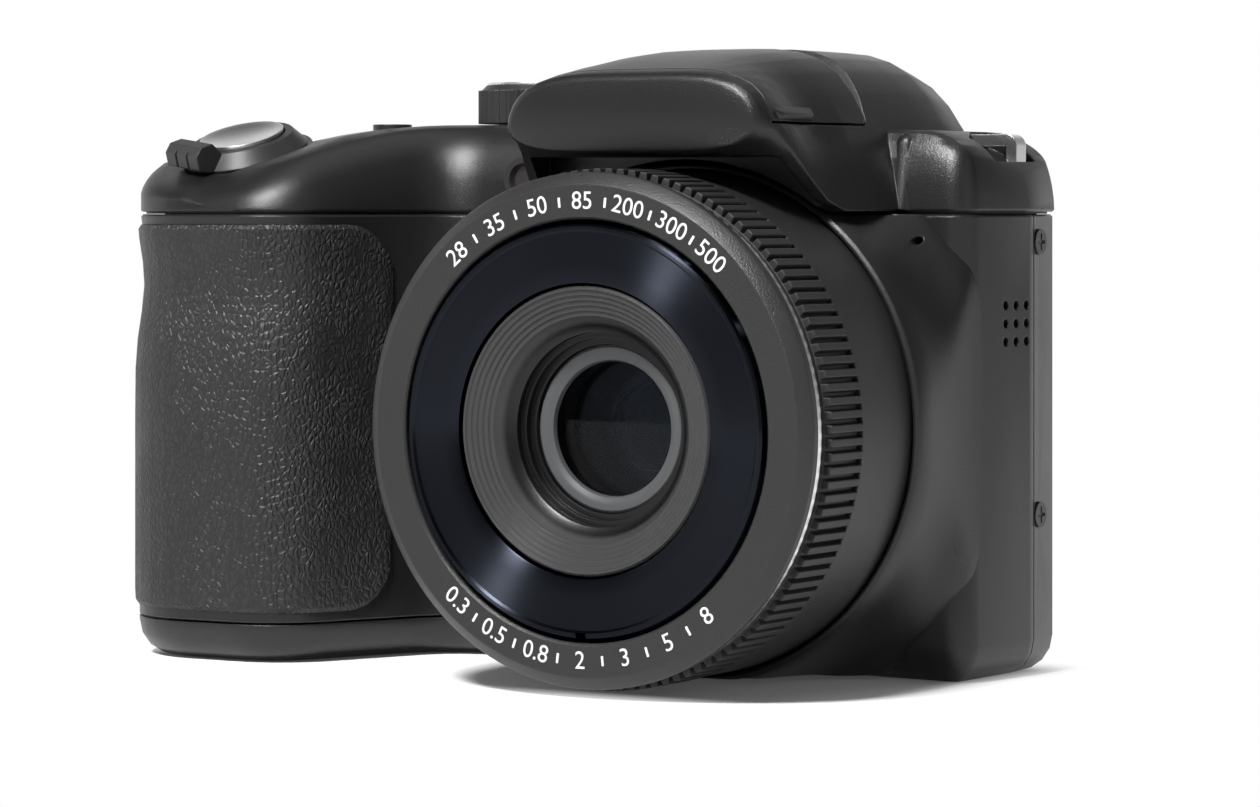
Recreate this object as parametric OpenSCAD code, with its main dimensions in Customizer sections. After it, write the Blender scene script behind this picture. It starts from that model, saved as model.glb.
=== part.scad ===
// Bridge camera with a fixed long zoom lens, an assembly of separate parts.
// Millimetres, Z up, the lens looks along -Y, the hand grip is on the -X side.
// The origin is the mouth of the tripod socket, in the upright plane of the lens axis.

/* [Body] */
// Lens axis to the plain end of the body
body_right = 33.6; // [32.4:0.2:42]
// Lens axis to the grip end of the shell
grip_left = 83.1; // [82.6:0.1:96]
// Tripod socket to the back face
body_back = 12; // [11:0.5:18]
// Tripod socket to the front face beside the lens
body_front = 13; // [12.5:0.25:14.5]
// Height of the seam under the top cover
seam_z = 57.8; // [57:0.2:64]
// Rounding of the bottom edge
bottom_round = 4.5; // [3:0.25:4.75]
// Shell wall thickness
wall = 2; // [1.6:0.1:2.2]
// Parting plane between front and rear cover
split_y = 2.4; // [1.8:0.1:3]
// How far the plain end leans in towards the front
side_taper = 1.8; // [0:0.2:3]

/* [Grip] */
// Tripod socket to the front of the grip shell
grip_front = 37.1; // [36.6:0.1:41]
// Lens axis to the inner front corner of the grip
grip_flank_x = 54.3; // [50:0.1:54.4]
// Lens axis to the root of the grip on the front face
grip_root_x = 44; // [41:0.2:44.2]
// Depth of the finger groove
groove_depth = 2; // [0:0.1:2.2]
// Height of the finger groove
groove_z = 48.6; // [46:0.2:51]
// Thickness of the rubber
pad_thick = 0.6; // [0.5:0.05:1]
// Lower edge of the rubber
pad_low = 6.5; // [6.2:0.1:9]
// Upper edge of the rubber
pad_high = 56.3; // [53:0.1:56.4]
// Corner radius of the rubber
pad_corner = 6.5; // [3:0.25:8]

/* [Top cover] */
// Height of the deck beside the hump
deck_z = 69.4; // [69:0.1:71]
// Drop of the deck at the grip end
deck_drop = 4.9; // [3:0.1:5.2]
// Drop of the plain shoulder
shoulder_drop = 1.3; // [0.6:0.1:2.5]
// Rounding of the deck edge on the grip side
deck_round = 6.5; // [5:0.25:8]
// Top of the hump
hump_top = 78.4; // [78:0.1:81]
// Front of the brow over the lens
brow_front = 40; // [39.4:0.1:41]
// Half width of the brow
brow_half = 17.7; // [17.2:0.1:19]
// Top of the brow at its front
brow_top = 74.5; // [74:0.1:75.5]
// Underside of the brow at its front
brow_low = 65; // [64.9:0.05:65.6]

/* [Flash] */
// Lower edge of the flash lid
lid_low = 68.5; // [68.4:0.1:69.6]
// Front edge of the flash lid
lid_front = 37.4; // [36.8:0.1:37.6]
// Rear edge of the flash lid
lid_rear = 14.7; // [14:0.1:16]
// Angle that the lid opens
lid_open = 20; // [16:1:22]

/* [Lens] */
// Height of the lens axis
lens_z = 31.9; // [31.8:0.05:33]
// Front plane of the lens
lens_front = 51; // [50:0.5:56]
// Outer radius of the fixed tube
tube_r = 31; // [30.6:0.1:31.2]
// How far the edge of the front bezel stands in from the tube
bezel_step = 0.3; // [0.2:0.05:0.5]
// Width of the front bezel
bezel_w = 5.5; // [5:0.1:5.8]
// Number of ribs on the ribbed ring
rib_count = 120; // [80:2:140]
// Depth of a groove between two ribs
rib_depth = 0.9; // [0.4:0.1:1]
// Travel of the zoom barrel
zoom_travel = 20; // [10:1:21]
// Travel of the inner barrel out of the zoom barrel
inner_travel = 18; // [8:1:19]
// Outer radius of the inner barrel
inner_r = 17.3; // [16.6:0.1:18]

/* [Controls] */
// Mode dial radius
dial_r = 8.5; // [7:0.1:9.2]
// Mode dial height
dial_h = 5.4; // [4:0.1:7]
// Knurls round the mode dial
dial_knurls = 44; // [24:2:60]
// Shutter button radius
shutter_r = 5.6; // [4.6:0.1:6]
// Zoom lever ring radius
lever_r = 8.4; // [7.8:0.1:9]
// Lean of the shutter group towards the front
shutter_lean = 19; // [14:1:20]
// Travel of the shutter button
shutter_travel = 1.2; // [0.6:0.1:1.4]
// Travel of the small buttons
button_travel = 0.5; // [0.3:0.1:0.7]
// Four-way ring radius
nav_r = 9.5; // [8:0.1:10.5]
// Screen window width
screen_w = 66; // [60:0.5:66.5]
// Screen window height
screen_h = 50; // [44:0.5:50.5]

/* [Battery bay] */
// Seam between shell and battery door
door_z = 5; // [4.8:0.1:5.6]
// Lens axis to the hinged end of the battery door
door_end = 37; // [34.5:0.2:38.5]
// Radius of a cell
cell_r = 7.2; // [7:0.05:7.25]
// Length of a cell
cell_l = 50.5; // [49:0.1:50.6]

/* [Fits] */
// Gap at a seam between two covers
seam_gap = 0.3; // [0.2:0.05:0.4]
// Gap round a button in its hole
button_gap = 0.25; // [0.15:0.05:0.3]
// Radial clearance of a running pin
pin_gap = 0.05; // [0.02:0.01:0.08]
// Gap between a seated inner part and what carries it
seat_gap = 0.05; // [0.02:0.01:0.08]

/* [Hidden] */
$fn = 96;

big = 400;
grip_out_r = 14;
grip_in_r = 11;
root_r = 8;
front_right_r = 3.5;
rear_left_r = 7;
rear_right_r = 5;
left_start_y = 0.4;
side_bow = 0.12;
right_end_y = 1;

function clamp(v, a, b) = min(max(v, a), b);
function ease(a, b, v) = let(t = clamp((v - a) / (b - a), 0, 1)) t * t * (3 - 2 * t);
function mix(a, b, t) = a + (b - a) * t;
function unit(v) = v / norm(v);
function turned(v, a) = [v[0] * cos(a) - v[1] * sin(a), v[0] * sin(a) + v[1] * cos(a)];

// Rounded corner at q on the way p to s: points with outward normal and the radius left for an inset
function fillet(p, q, s, r, m) =
  let(a = unit(q - p), b = unit(s - q))
  let(turn = atan2(a[0] * b[1] - a[1] * b[0], a * b), side = turn > 0 ? 1 : -1)
  let(n0 = [a[1], -a[0]], start = q - a * r * tan(abs(turn) / 2), mid = start - side * r * n0)
  [for (k = [0:m]) let(n = turned(n0, turn * k / m), c = mid + side * r * n)
    [c[0], c[1], n[0], n[1], side > 0 ? r : big]];

// Straight stretch between two points, ends left out
function straight(p, q, m) =
  let(a = unit(q - p), n = [a[1], -a[0]])
  [for (k = [1:1:m]) let(c = mix(p, q, k / (m + 1))) [c[0], c[1], n[0], n[1], big]];

function groove(z) = exp(-pow((z - groove_z) / 6.5, 2));
function corner_a(z) = [-grip_left, -grip_front + groove_depth * groove(z)];
function corner_b(z) = [-grip_flank_x, -grip_front + groove_depth * groove(z)];
corner_c = [-grip_root_x, -body_front];
corner_d = [body_right - side_taper, -body_front];
end_r = [body_right + side_bow, right_end_y];
start_l = [-grip_left - side_bow, left_start_y];
function xy(p) = [p[0], p[1]];
function last(v) = v[len(v) - 1];

// Front half of the plan outline from the grip end to the plain end
function front_chain(z) =
  let(s = start_l, a = corner_a(z), b = corner_b(z))
  let(fa = fillet(s, a, b, grip_out_r, 8), fb = fillet(a, b, corner_c, grip_in_r, 8))
  let(fc = fillet(b, corner_c, corner_d, root_r, 6))
  let(fd = fillet(corner_c, corner_d, end_r, front_right_r, 8))
  concat([[s[0], s[1], -1, 0, 6.4]], fa, fb, straight(xy(last(fb)), xy(fc[0]), 1), fc,
    straight(xy(last(fc)), xy(fd[0]), 4), fd, [[end_r[0], end_r[1], 1, 0, 5]]);

// Rear half of the outline, read at the same x
function rear_point(p) =
  let(cl = -grip_left + rear_left_r, cr = body_right - rear_right_r)
  let(l = clamp((cl - p[0]) / rear_left_r, 0, 1), r = clamp((p[0] - cr) / rear_right_r, 0, 1))
  l > 0 ? [p[0], body_back - rear_left_r * (1 - sqrt(1 - l * l)), -l, sqrt(1 - l * l), rear_left_r] :
  r > 0 ? [p[0], body_back - rear_right_r * (1 - sqrt(1 - r * r)), r, sqrt(1 - r * r), rear_right_r] :
  [p[0], body_back, 0, 1, big];

function moved(p, d) = [p[0] - p[2] * min(d, p[4] * 0.92), p[1] - p[3] * min(d, p[4] * 0.92)];

// Closed plan outline at height z, moved in by d
function ring(z, d) =
  let(f = front_chain(z), n = len(f) - 1)
  concat([for (p = f) moved(p, d)], [for (i = [n - 1:-1:1]) moved(rear_point(f[i]), d)]);

// Solid between rings that share one point order; n stations per half outline
module ring_loft(rings, n) {
  m = 2 * n;
  k = len(rings);
  top = (k - 1) * m;
  sides = [for (j = [0:k - 2]) for (i = [0:m - 1]) let(e = (i + 1) % m)
    each [[j * m + i, (j + 1) * m + i, (j + 1) * m + e], [j * m + i, (j + 1) * m + e, j * m + e]]];
  strip = [for (i = [0:n - 1]) let(r0 = i == 0 ? 0 : m - i, r1 = i == n - 1 ? n : m - i - 1)
    each concat(i == n - 1 ? [] : [[i, i + 1, r1]], i == 0 ? [] : [[i, i == n - 1 ? n : r1, r0]])];
  first = [for (t = strip) if (t[0] != t[1] && t[1] != t[2]) t];
  lid = [for (t = first) [t[2] + top, t[1] + top, t[0] + top]];
  polyhedron(points = [for (r = rings) each r], faces = concat(first, sides, lid), convexity = 6);
}

stations = len(front_chain(0)) - 1;
body_top = seam_z - seam_gap / 2;
foot_levels = [for (a = [0, 22, 44, 67, 90]) bottom_round * (1 - cos(a))];
grip_levels = [10, 24, 35, 39, 42.5, 46, 49.5, 53];
function bottom_inset(z) = z >= bottom_round ? 0 :
  bottom_round - sqrt(pow(bottom_round, 2) - pow(bottom_round - z, 2));

// Whole lower body as one solid, rounded at the bottom, broken edge at the seam
module body_block(levels) {
  rings = concat([for (z = concat(foot_levels, levels, [body_top - 0.3])) [for (p = ring(z, bottom_inset(z))) [p[0], p[1], z]]],
    [[for (p = ring(body_top, 0.3)) [p[0], p[1], body_top]]]);
  ring_loft(rings, stations);
}

// Hollow of the lower body with straight walls
module body_hollow(low, high) {
  translate([0, 0, low])
    linear_extrude(height = high - low)
      polygon(ring(groove_z, wall));
}

// Everything on one side of an upright plane
module in_front(y) {
  translate([-big, y - big, -big]) cube([2 * big, big, 2 * big]);
}
module behind(y) {
  translate([-big, y, -big]) cube([2 * big, big, 2 * big]);
}

// Local Z runs forward along the lens axis
module on_lens() {
  translate([0, 0, lens_z]) rotate([90, 0, 0]) children();
}

floor_t = 2.2;
bezel_r = tube_r - bezel_step;
bezel_in_r = bezel_r - bezel_w;
bore_r = tube_r - 2.5;
collar_r = tube_r + 1.1;

module door_space(gap) {
  translate([-big, -big, -big]) cube([big - door_end + gap, 2 * big, big + door_z + gap]);
}

// Flared collar of the front cover round the lens tube
module collar() {
  intersection() {
    on_lens() rotate_extrude($fn = 120) polygon(concat([[tube_r + 0.35, 26],
      [tube_r + 0.7, 26], [collar_r - 0.1, 25.6], [collar_r, 25]], [for (a = [0:15:90]) [collar_r + 1.6 - 1.6 * cos(a), 16.6 - 1.2 * sin(a)]],
      [for (a = [75:-15:0]) [collar_r + 3.2 - 1.6 * cos(90 - a) * 0.6 + 0.9 * cos(a), 15.3 - 2.6 * (1 - sin(a))]],
      [[collar_r + 4.1, body_front - 1.5], [tube_r + 0.35, body_front - 1.5]]));
    translate([0, 0, 0.5]) linear_extrude(height = body_top - 0.5)
      polygon([[-60, -30], [side_x(-30), -30], [side_x(-6), -6], [-60, -6]]);
  }
}

// Plain end's face at depth y, a hair inside it
function side_x(y) = mix(corner_d[0], end_r[0], (y + body_front) / (right_end_y + body_front)) - 0.06;

module collar_ring() {
  intersection() {
    on_lens() rotate_extrude($fn = 120) polygon([[tube_r + 0.35, 15.2], [tube_r + 0.35, 26],
      [tube_r + 0.7, 26], [collar_r - 0.1, 25.6], [collar_r, 25], [collar_r, 15.2]]);
    translate([-big, -big, body_top - 1]) cube([2 * big, 2 * big, big]);
  }
}

speaker_y = -2.1;
speaker_z = 44.1;
speaker_r = 4.2;
side_lean = atan(side_taper / (right_end_y + body_front));
mic_pos = [26.4, 54.4];

// Places on the plain end: local Z points out of the side
module on_side(y, z) {
  back = y > right_end_y;
  x = body_right - (back ? 0 : side_taper * (right_end_y - y) / (right_end_y + body_front));
  translate([x, y, z]) rotate([0, 0, back ? 0 : -side_lean]) rotate([0, 90, 0]) children();
}

module front_cover() {
  color([0.09, 0.09, 0.095]) union() {
    front_shell();
    hinge_ear(hinge_spans[0]);
  }
}

module front_shell() {
  difference() {
    union() {
      difference() {
        intersection() {
          body_block(grip_levels);
          in_front(split_y - seam_gap / 2);
        }
        body_hollow(floor_t, big);
      }
      collar();
      collar_ring();
    }
    door_space(seam_gap);
    on_lens() translate([0, 0, -5]) cylinder(r = bore_r + 0.4, h = body_front + 4.5);
    on_lens() translate([0, 0, body_front - 0.8]) cylinder(r = tube_r + 0.35, h = 20);
    for (i = [-1:1]) for (j = [-1:1]) on_side(speaker_y + 2.25 * i, speaker_z + 2.25 * j)
      translate([0, 0, -4]) cylinder(d = 1.15, h = 8, $fn = 20);
    translate([mic_pos[0], -body_front + 5, mic_pos[1]]) rotate([90, 0, 0]) cylinder(d = 1.1, h = 10, $fn = 20);
    cylinder(r = socket_r + seat_gap, h = 20, center = true);
  }
}

socket_r = 5;
socket_bore_r = 3.175;
socket_h = 6.8;
socket_flange = 2;

// Brass insert for a quarter inch tripod screw
module tripod_socket() {
  color([0.72, 0.6, 0.33]) difference() {
    union() {
      cylinder(r = socket_r, h = socket_h);
      translate([0, 0, floor_t + seat_gap]) cylinder(r = socket_r + 1.2, h = socket_flange - seat_gap);
    }
    translate([0, 0, -1]) cylinder(r = socket_bore_r, h = socket_h + 0.2);
  }
}

screen_x = -3;
screen_z = 30.5;
nav_x = -62;
nav_z = 27;
small_r = 3;
function small_buttons() = [[-50.5, 44], [-73, 44], [-50.5, 10.8], [-73, 10.8]];
record_pos = [-60, 50.5];

// Places on the back face: local Z points out of the back
module on_back(x, z) {
  translate([x, body_back, z]) rotate([-90, 0, 0]) children();
}

module back_hole(p, r) {
  on_back(p[0], p[1]) translate([0, 0, -wall - 3]) cylinder(r = r + button_gap, h = 12);
}

lcd_frame = 1.6;
lug_y = 3.2;
lug_z = seam_z + 8.4;

module rear_cover() {
  color([0.09, 0.09, 0.095]) union() {
    rear_shell();
    hinge_ear(hinge_spans[1]);
  }
}

module rear_shell() {
  difference() {
    intersection() {
      body_block([]);
      behind(split_y + seam_gap / 2);
    }
    difference() {
      body_hollow(floor_t, big);
      translate([-big, body_back - wall, 0]) cube([2 * big, big, big]);
    }
    door_space(seam_gap);
    on_back(screen_x, screen_z) translate([0, 0, 3.2]) cube([screen_w + 2 * seam_gap, screen_h + 2 * seam_gap, 8.8], center = true);
    on_back(screen_x, screen_z) cube([screen_w - 2 * lcd_frame, screen_h - 2 * lcd_frame, 40], center = true);
    back_hole([nav_x, nav_z], nav_r);
    for (p = small_buttons()) back_hole(p, small_r);
    back_hole(record_pos, small_r);
    for (z = screw_levels) on_side(screw_y, z) translate([0, 0, -0.45]) cylinder(r = screw_r + 0.1, h = 4);
    for (z = screw_levels) on_side(screw_y, z) translate([0, 0, -8]) cylinder(r = screw_r * 0.5 + 0.05, h = 9);
    translate([0, 0, -1]) cylinder(r = socket_r + 0.3, h = 12);
    port_place() cube([2 * port_depth, port_w + 2 * seam_gap, port_h + 2 * seam_gap], center = true);
    port_place() translate([0, 0, -port_h / 2]) cube([2 * port_depth, port_w + 2 * seam_gap, 4 * seam_gap], center = true);
    port_place() cube([12, 3, 8.4], center = true);
  }
}

screw_y = 4.4;
screw_r = 1.6;
screw_levels = [54.2, 20];

module cover_screws() {
  color([0.16, 0.16, 0.17]) for (z = screw_levels) on_side(screw_y, z) difference() {
    union() {
      translate([0, 0, -0.45 + seat_gap]) cylinder(r = screw_r, h = 0.4);
      translate([0, 0, -4.5]) cylinder(r = screw_r * 0.5, h = 4.3);
    }
    translate([0, 0, 0.02]) cube([screw_r * 1.3, 0.45, 0.5], center = true);
    translate([0, 0, 0.02]) cube([0.45, screw_r * 1.3, 0.5], center = true);
  }
}

// Path of the rubber round the grip at height z: position, normal and distance from the rubber's end
pad_flank = 0.66;
function pad_steps() = [0, 0.25, 0.9, 2, 3.6, 5.2, pad_corner];
function pad_path(z) =
  let(s = start_l, a = corner_a(z), b = corner_b(z))
  let(fa = fillet(s, a, b, grip_out_r, 8), fb = fillet(a, b, corner_c, grip_in_r, 8))
  let(e0 = xy(last(fb)), e1 = mix(b, corner_c, pad_flank), d = unit(e1 - e0), n = [d[1], -d[0]])
  let(g = unit(xy(fa[0]) - s))
  concat([for (t = pad_steps()) let(c = s + g * (0.2 + t)) [c[0], c[1], g[1], -g[0], t]],
    [for (p = fa) [p[0], p[1], p[2], p[3], big]], [for (p = fb) [p[0], p[1], p[2], p[3], big]],
    [for (i = [len(pad_steps()) - 1:-1:0]) let(t = pad_steps()[i], c = e1 - d * t) [c[0], c[1], n[0], n[1], t]]);
pad_cols = pad_path(20);
function pad_rise(t) = t >= pad_corner ? 0 : pad_corner - sqrt(pow(pad_corner, 2) - pow(pad_corner - t, 2));
pad_rows = [0, 0.012, 0.04, 0.1, 0.3, 0.5, 0.62, 0.7, 0.77, 0.84, 0.9, 0.96, 0.988, 1];
function pad_edge(e) = e >= 1.2 ? 1 : 0.15 + 0.85 * sqrt(1 - pow(1 - e / 1.2, 2));
function pad_point(i, v, out) =
  let(t = pad_cols[i][4], lo = pad_low + pad_rise(t), hi = pad_high - pad_rise(t), z = mix(lo, hi, v))
  let(p = pad_path(z)[i], e = min(t, min(z - lo, hi - z)))
  let(d = out ? pad_thick * pad_edge(e) : seat_gap) [p[0] + p[2] * d, p[1] + p[3] * d, z];

// Grained rubber wrapped round the front of the grip
module grip_rubber() {
  nc = len(pad_cols);
  nr = len(pad_rows);
  m = nc * nr;
  pts = [for (o = [true, false]) for (i = [0:nc - 1]) for (v = pad_rows) pad_point(i, v, o)];
  outer = [for (i = [0:nc - 2]) for (j = [0:nr - 2]) let(a = i * nr + j, b = a + nr)
    each [[a, a + 1, b + 1], [a, b + 1, b]]];
  inner = [for (t = outer) [t[2] + m, t[1] + m, t[0] + m]];
  rim_z = [for (i = [0:nc - 2]) let(a = i * nr, b = a + nr, c = a + nr - 1, d = b + nr - 1)
    each [[a, b, b + m], [a, b + m, a + m], [d, c, c + m], [d, c + m, d + m]]];
  rim_s = [for (j = [0:nr - 2]) let(a = j, b = (nc - 1) * nr + j)
    each [[a + 1, a, a + m], [a + 1, a + m, a + 1 + m], [b, b + 1, b + 1 + m], [b, b + 1 + m, b + m]]];
  color([0.14, 0.14, 0.145])
    polyhedron(points = pts, faces = concat(outer, inner, rim_z, rim_s), convexity = 4);
}

// Battery door: the whole foot of the grip, hinged at its inner end
hinge_z = 1.15;
hinge_r = 0.6;
knuckle_r = 1.1;
hinge_x = -door_end - 1.3;
hinge_spans = [[-7.4, -4.4], [3.6, 6.6]];
hinge_edge = -hinge_x - door_end;

module hinge_bar(r, l) {
  translate([hinge_x, 0, hinge_z]) rotate([-90, 0, 0]) cylinder(r = r, h = l, center = true, $fn = 48);
}

// Ear of a cover that carries the hinge pin
module hinge_ear(span) {
  difference() {
    union() {
      intersection() {
        hinge_bar(knuckle_r, 100);
        translate([-big, span[0], -big]) cube([2 * big, span[1] - span[0], 2 * big]);
      }
      translate([hinge_x, span[0], hinge_z - knuckle_r])
        cube([hinge_edge + seam_gap + 1, span[1] - span[0], 2 * knuckle_r]);
    }
    hinge_bar(hinge_r + 0.02, 200);
  }
}

module battery_door() {
  color([0.09, 0.09, 0.095]) difference() {
    intersection() {
      body_block([10]);
      door_space(0);
    }
    difference() {
      body_hollow(floor_t, big);
      translate([hinge_x - 2.4, -big, 0]) cube([big, 2 * big, hinge_z + 2.2]);
    }
    hinge_bar(hinge_r + pin_gap, 200);
    difference() {
      translate([hinge_x, -big, -1]) cube([big, 2 * big, hinge_z + 1]);
      hinge_bar(hinge_edge, 3 * big);
    }
    for (s = hinge_spans) translate([hinge_x - knuckle_r - seam_gap, s[0] - seam_gap, -1])
      cube([big, s[1] - s[0] + 2 * seam_gap, door_z + 3]);
    translate([latch_x - latch_l / 2 - seam_gap, latch_y - latch_w / 2 - seam_gap, -1])
      cube([latch_l + latch_travel + 2 * seam_gap, latch_w + 2 * seam_gap, 1 + latch_t + seam_gap]);
    translate([latch_x - 3, latch_y - 1.25 - seam_gap, -1]) cube([6 + latch_travel, 2.5 + 2 * seam_gap, 10]);
  }
}

module battery_pin() {
  color([0.7, 0.7, 0.72])
    translate([hinge_x, hinge_spans[0][0], hinge_z]) rotate([-90, 0, 0])
      cylinder(r = hinge_r, h = hinge_spans[1][1] - hinge_spans[0][0], $fn = 48);
}

latch_x = -72;
latch_y = -12;
latch_l = 9;
latch_w = 7;
latch_t = 1;
latch_travel = 2.5;

module battery_latch() {
  color([0.13, 0.13, 0.135]) {
    difference() {
      translate([latch_x - latch_l / 2, latch_y - latch_w / 2, 0.25]) cube([latch_l, latch_w, latch_t - 0.25]);
      for (i = [-1:1]) translate([latch_x + 2 * i, latch_y, 0.2]) cube([0.8, latch_w - 2, 0.6], center = true);
    }
    translate([latch_x - 2.7, latch_y - 1.25, latch_t - 0.1]) cube([5.4, 2.5, floor_t + 0.9 - latch_t]);
    translate([latch_x - 3.5, latch_y - 2.6, floor_t + 0.15]) cube([7, 5.2, 0.65]);
  }
}

cell_pitch = 2 * cell_r + 0.3;
cell_x = 17.1 - grip_left;
cell_y = -13.75;
cell_low = 3.5;
box_wall = 0.55;
function cells() = [for (i = [-0.5, 0.5]) for (j = [-0.5, 0.5]) [cell_x + i * cell_pitch, cell_y + j * cell_pitch]];

module battery_box() {
  top = cell_low + cell_l + 0.6;
  r = cell_r + box_wall;
  color([0.2, 0.2, 0.21]) difference() {
    union() {
      for (c = cells()) translate([c[0], c[1], door_z + 1]) cylinder(r = r, h = top + 1.2 - door_z - 1);
      translate([cell_x - cell_pitch / 2, cell_y - cell_pitch / 2 - r, door_z + 1]) cube([cell_pitch, cell_pitch + 2 * r, top + 1.2 - door_z - 1]);
      translate([cell_x - cell_pitch / 2 - r, cell_y - cell_pitch / 2, door_z + 1]) cube([cell_pitch + 2 * r, cell_pitch, top + 1.2 - door_z - 1]);
    }
    for (c = cells()) translate([c[0], c[1], 0]) cylinder(r = cell_r + 0.1, h = top);
    translate([cell_x - cell_pitch / 2 - 5, cell_y - cell_pitch / 2 - 5, cell_low + cell_l]) cube([cell_pitch + 10, cell_pitch + 10, 0.6]);
  }
}

module battery_cells() {
  color([0.62, 0.64, 0.66]) for (c = cells()) translate([c[0], c[1], cell_low]) {
    cylinder(r = cell_r, h = cell_l - 1.2);
    translate([0, 0, cell_l - 1.3]) cylinder(r = 2.6, h = 1.3 - seat_gap);
  }
}

module battery_contacts() {
  color([0.8, 0.78, 0.7]) for (i = [-0.5, 0.5])
    translate([cell_x + i * cell_pitch - 4, cell_y - cell_pitch / 2 - 4, cell_low + cell_l]) cube([8, cell_pitch + 8, 0.6 - seat_gap]);
}

// Pressed plate that carries the lens, the boards and the tripod socket
module chassis() {
  low = floor_t + socket_flange + seat_gap;
  color([0.55, 0.56, 0.58]) {
    difference() {
      translate([-door_end + 1, -1.4, low]) cube([door_end - 1 + body_right - 6, 1.2, seam_z - 4 - low]);
      cylinder(r = socket_r + seat_gap, h = socket_h + seat_gap);
    }
    for (x = [-19, 19]) for (z = [-19, 19]) translate([x, -1.3, lens_z + z]) rotate([90, 0, 0])
      cylinder(r = 2, h = lens_back - 1.3 - seat_gap, $fn = 32);
    translate([-grip_root_x + 3.4, -10.6, 10.5]) cube([10, 9.3, 1.5 - seat_gap]);
  }
}

module main_board() {
  color([0.07, 0.25, 0.13]) {
    translate([-34, 4.6, socket_h + 0.4]) cube([61, 1.4, seam_z - 4 - socket_h]);
    translate([-20, 3.2, 22]) cube([14, 1.5, 14]);
    translate([6, 3.4, 30]) cube([10, 1.3, 12]);
    for (i = [0:3]) translate([-30 + 4 * i, 3.8, 44]) cube([2.4, 0.9, 4]);
    translate([-34, -0.2 + seat_gap, 8]) cube([4, 5, 4]);
    translate([22, -0.2 + seat_gap, 8]) cube([4, 5, 4]);
    translate([-75, 5.9, 7]) cube([42, 1, 48]);
    for (p = concat(small_buttons(), [record_pos, [nav_x, nav_z]])) translate([p[0], 6.8, p[1]]) rotate([-90, 0, 0])
      cylinder(r = 1.7, h = body_back - wall - 1.6 - button_travel - 6.8, $fn = 32);
  }
}

// Bent metal brackets for the neck strap, one at each end
lug_t = 1.5;
lug_w = 2.6;
lug_len = 9;
module lug_bar() {
  rotate([90, 0, 0]) linear_extrude(height = lug_w, center = true)
    polygon(concat([[-lug_len, 0], [-lug_t, 0], [-lug_t, -5], [0, -5]],
      [for (a = [0:9:90]) lug_t * [cos(a) - 1, sin(a)]], [[-lug_len, lug_t]]));
}

module lug_place(side) {
  if (side > 0) translate([body_right - 2.2, lug_y, lug_z]) children();
  else translate([-grip_left + 2.4, lug_y, lug_z - 3]) mirror([1, 0, 0]) children();
}

module strap_lugs() {
  color([0.8, 0.8, 0.81]) for (side = [-1, 1]) lug_place(side) lug_bar();
}

// Scoop in the top cover under a bracket, with the slot that holds it
module lug_notch() {
  g = seat_gap;
  intersection() {
    rotate([90, 0, 0]) linear_extrude(height = 60, center = true)
      polygon([[-6.4, -0.1], [-2.1, -2], [17, -2], [17, 18], [-6.4, 18]]);
    translate([0, 0, -4]) linear_extrude(height = 40)
      polygon([[-6.4, 3.4], [-6.4, -1.6], [-3.2, -8.2], [18.6, -8.2], [18.6, 3.4]]);
  }
  rotate([90, 0, 0]) linear_extrude(height = lug_w + 2 * g, center = true)
    polygon([[-lug_len - g, -g], [-lug_t - g, -g], [-lug_t - g, -5 - g], [g, -5 - g], [g, 9],
      [-6.2, 9], [-6.2, lug_t + g], [-lug_len - g, lug_t + g]]);
}

module speaker() {
  color([0.25, 0.25, 0.26]) on_side(speaker_y, speaker_z) translate([0, 0, -wall - 2.4 - seat_gap]) cylinder(r = speaker_r, h = 2.4);
}

module microphone() {
  color([0.5, 0.5, 0.52]) translate([mic_pos[0] - 1.5, -body_front + wall + seat_gap, mic_pos[1] - 1.6]) cube([3, 1.2, 2.6]);
}

port_w = 3.6;
port_h = 15;
port_y = 5;
port_z = 34;
port_depth = 1.4;
module port_place() {
  translate([-grip_left, port_y, port_z]) children();
}

module port_cover() {
  t = port_depth - seat_gap - 0.35;
  color([0.1, 0.1, 0.105]) port_place() difference() {
    union() {
      translate([0.35, -port_w / 2, -port_h / 2 + t / 2]) cube([t, port_w, port_h - t / 2]);
      translate([0.35 + t / 2, -port_w / 2, -port_h / 2 + t / 2]) rotate([-90, 0, 0]) cylinder(d = t, h = port_w, $fn = 32);
    }
    translate([0, -1, port_h / 2 - 1.6]) cube([0.7, 2, 1.2]);
  }
}

module usb_port() {
  color([0.6, 0.6, 0.62]) translate([-grip_left + wall + 2 * seat_gap, port_y - 1.4, port_z - 4]) difference() {
    cube([5, 2.8, 8]);
    translate([-1, 0.4, 0.5]) cube([4, 2, 7]);
  }
}

// Deck height of the top cover
function deck(x, y) = deck_z - deck_drop * pow(max(0, -x - 45) / (grip_left - 48.6), 2)
  - shoulder_drop * ease(0, 20, x) - 0.008 * pow(max(0, -8 - y), 2) * ease(-30, -48, x) - end_drop(x);
function edge_round(p) = mix(deck_round, mix(3, 1.2, pow(max(0, p[2]), 2)), ease(-30, 10, p[0]));
end_round = 10;
deck_low = seam_z + seam_gap / 2;
end_rise = deck_z - shoulder_drop - deck_low - 0.3;
// Drop of the deck in the long rounding of the plain end
function end_drop(x) = let(t = clamp((x - body_right - 0.3 + end_round) / end_round, 0, 1)) end_rise * (1 - sqrt(1 - t * t));
// Plan outline of the slab, with more stations towards the plain end
function slab_chain(z) =
  let(f = front_chain(z), n = len(f), e = [for (p = f) if (p[0] < body_right - 13) p], k = len(e))
  let(c = f[n - 2], d = mix(xy(c), end_r, 0.5))
  concat(e, [for (x = [11.6, 9.6, 8.1, 6.6]) [body_right - x, -body_front, 0, -1, big]],
    [for (i = [k:n - 2]) if (f[i][0] > body_right - 6) f[i]], [[d[0], d[1], 1, 0, 5]], [f[n - 1]]);
edge_steps = [20, 40, 58, 74, 90];

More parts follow.
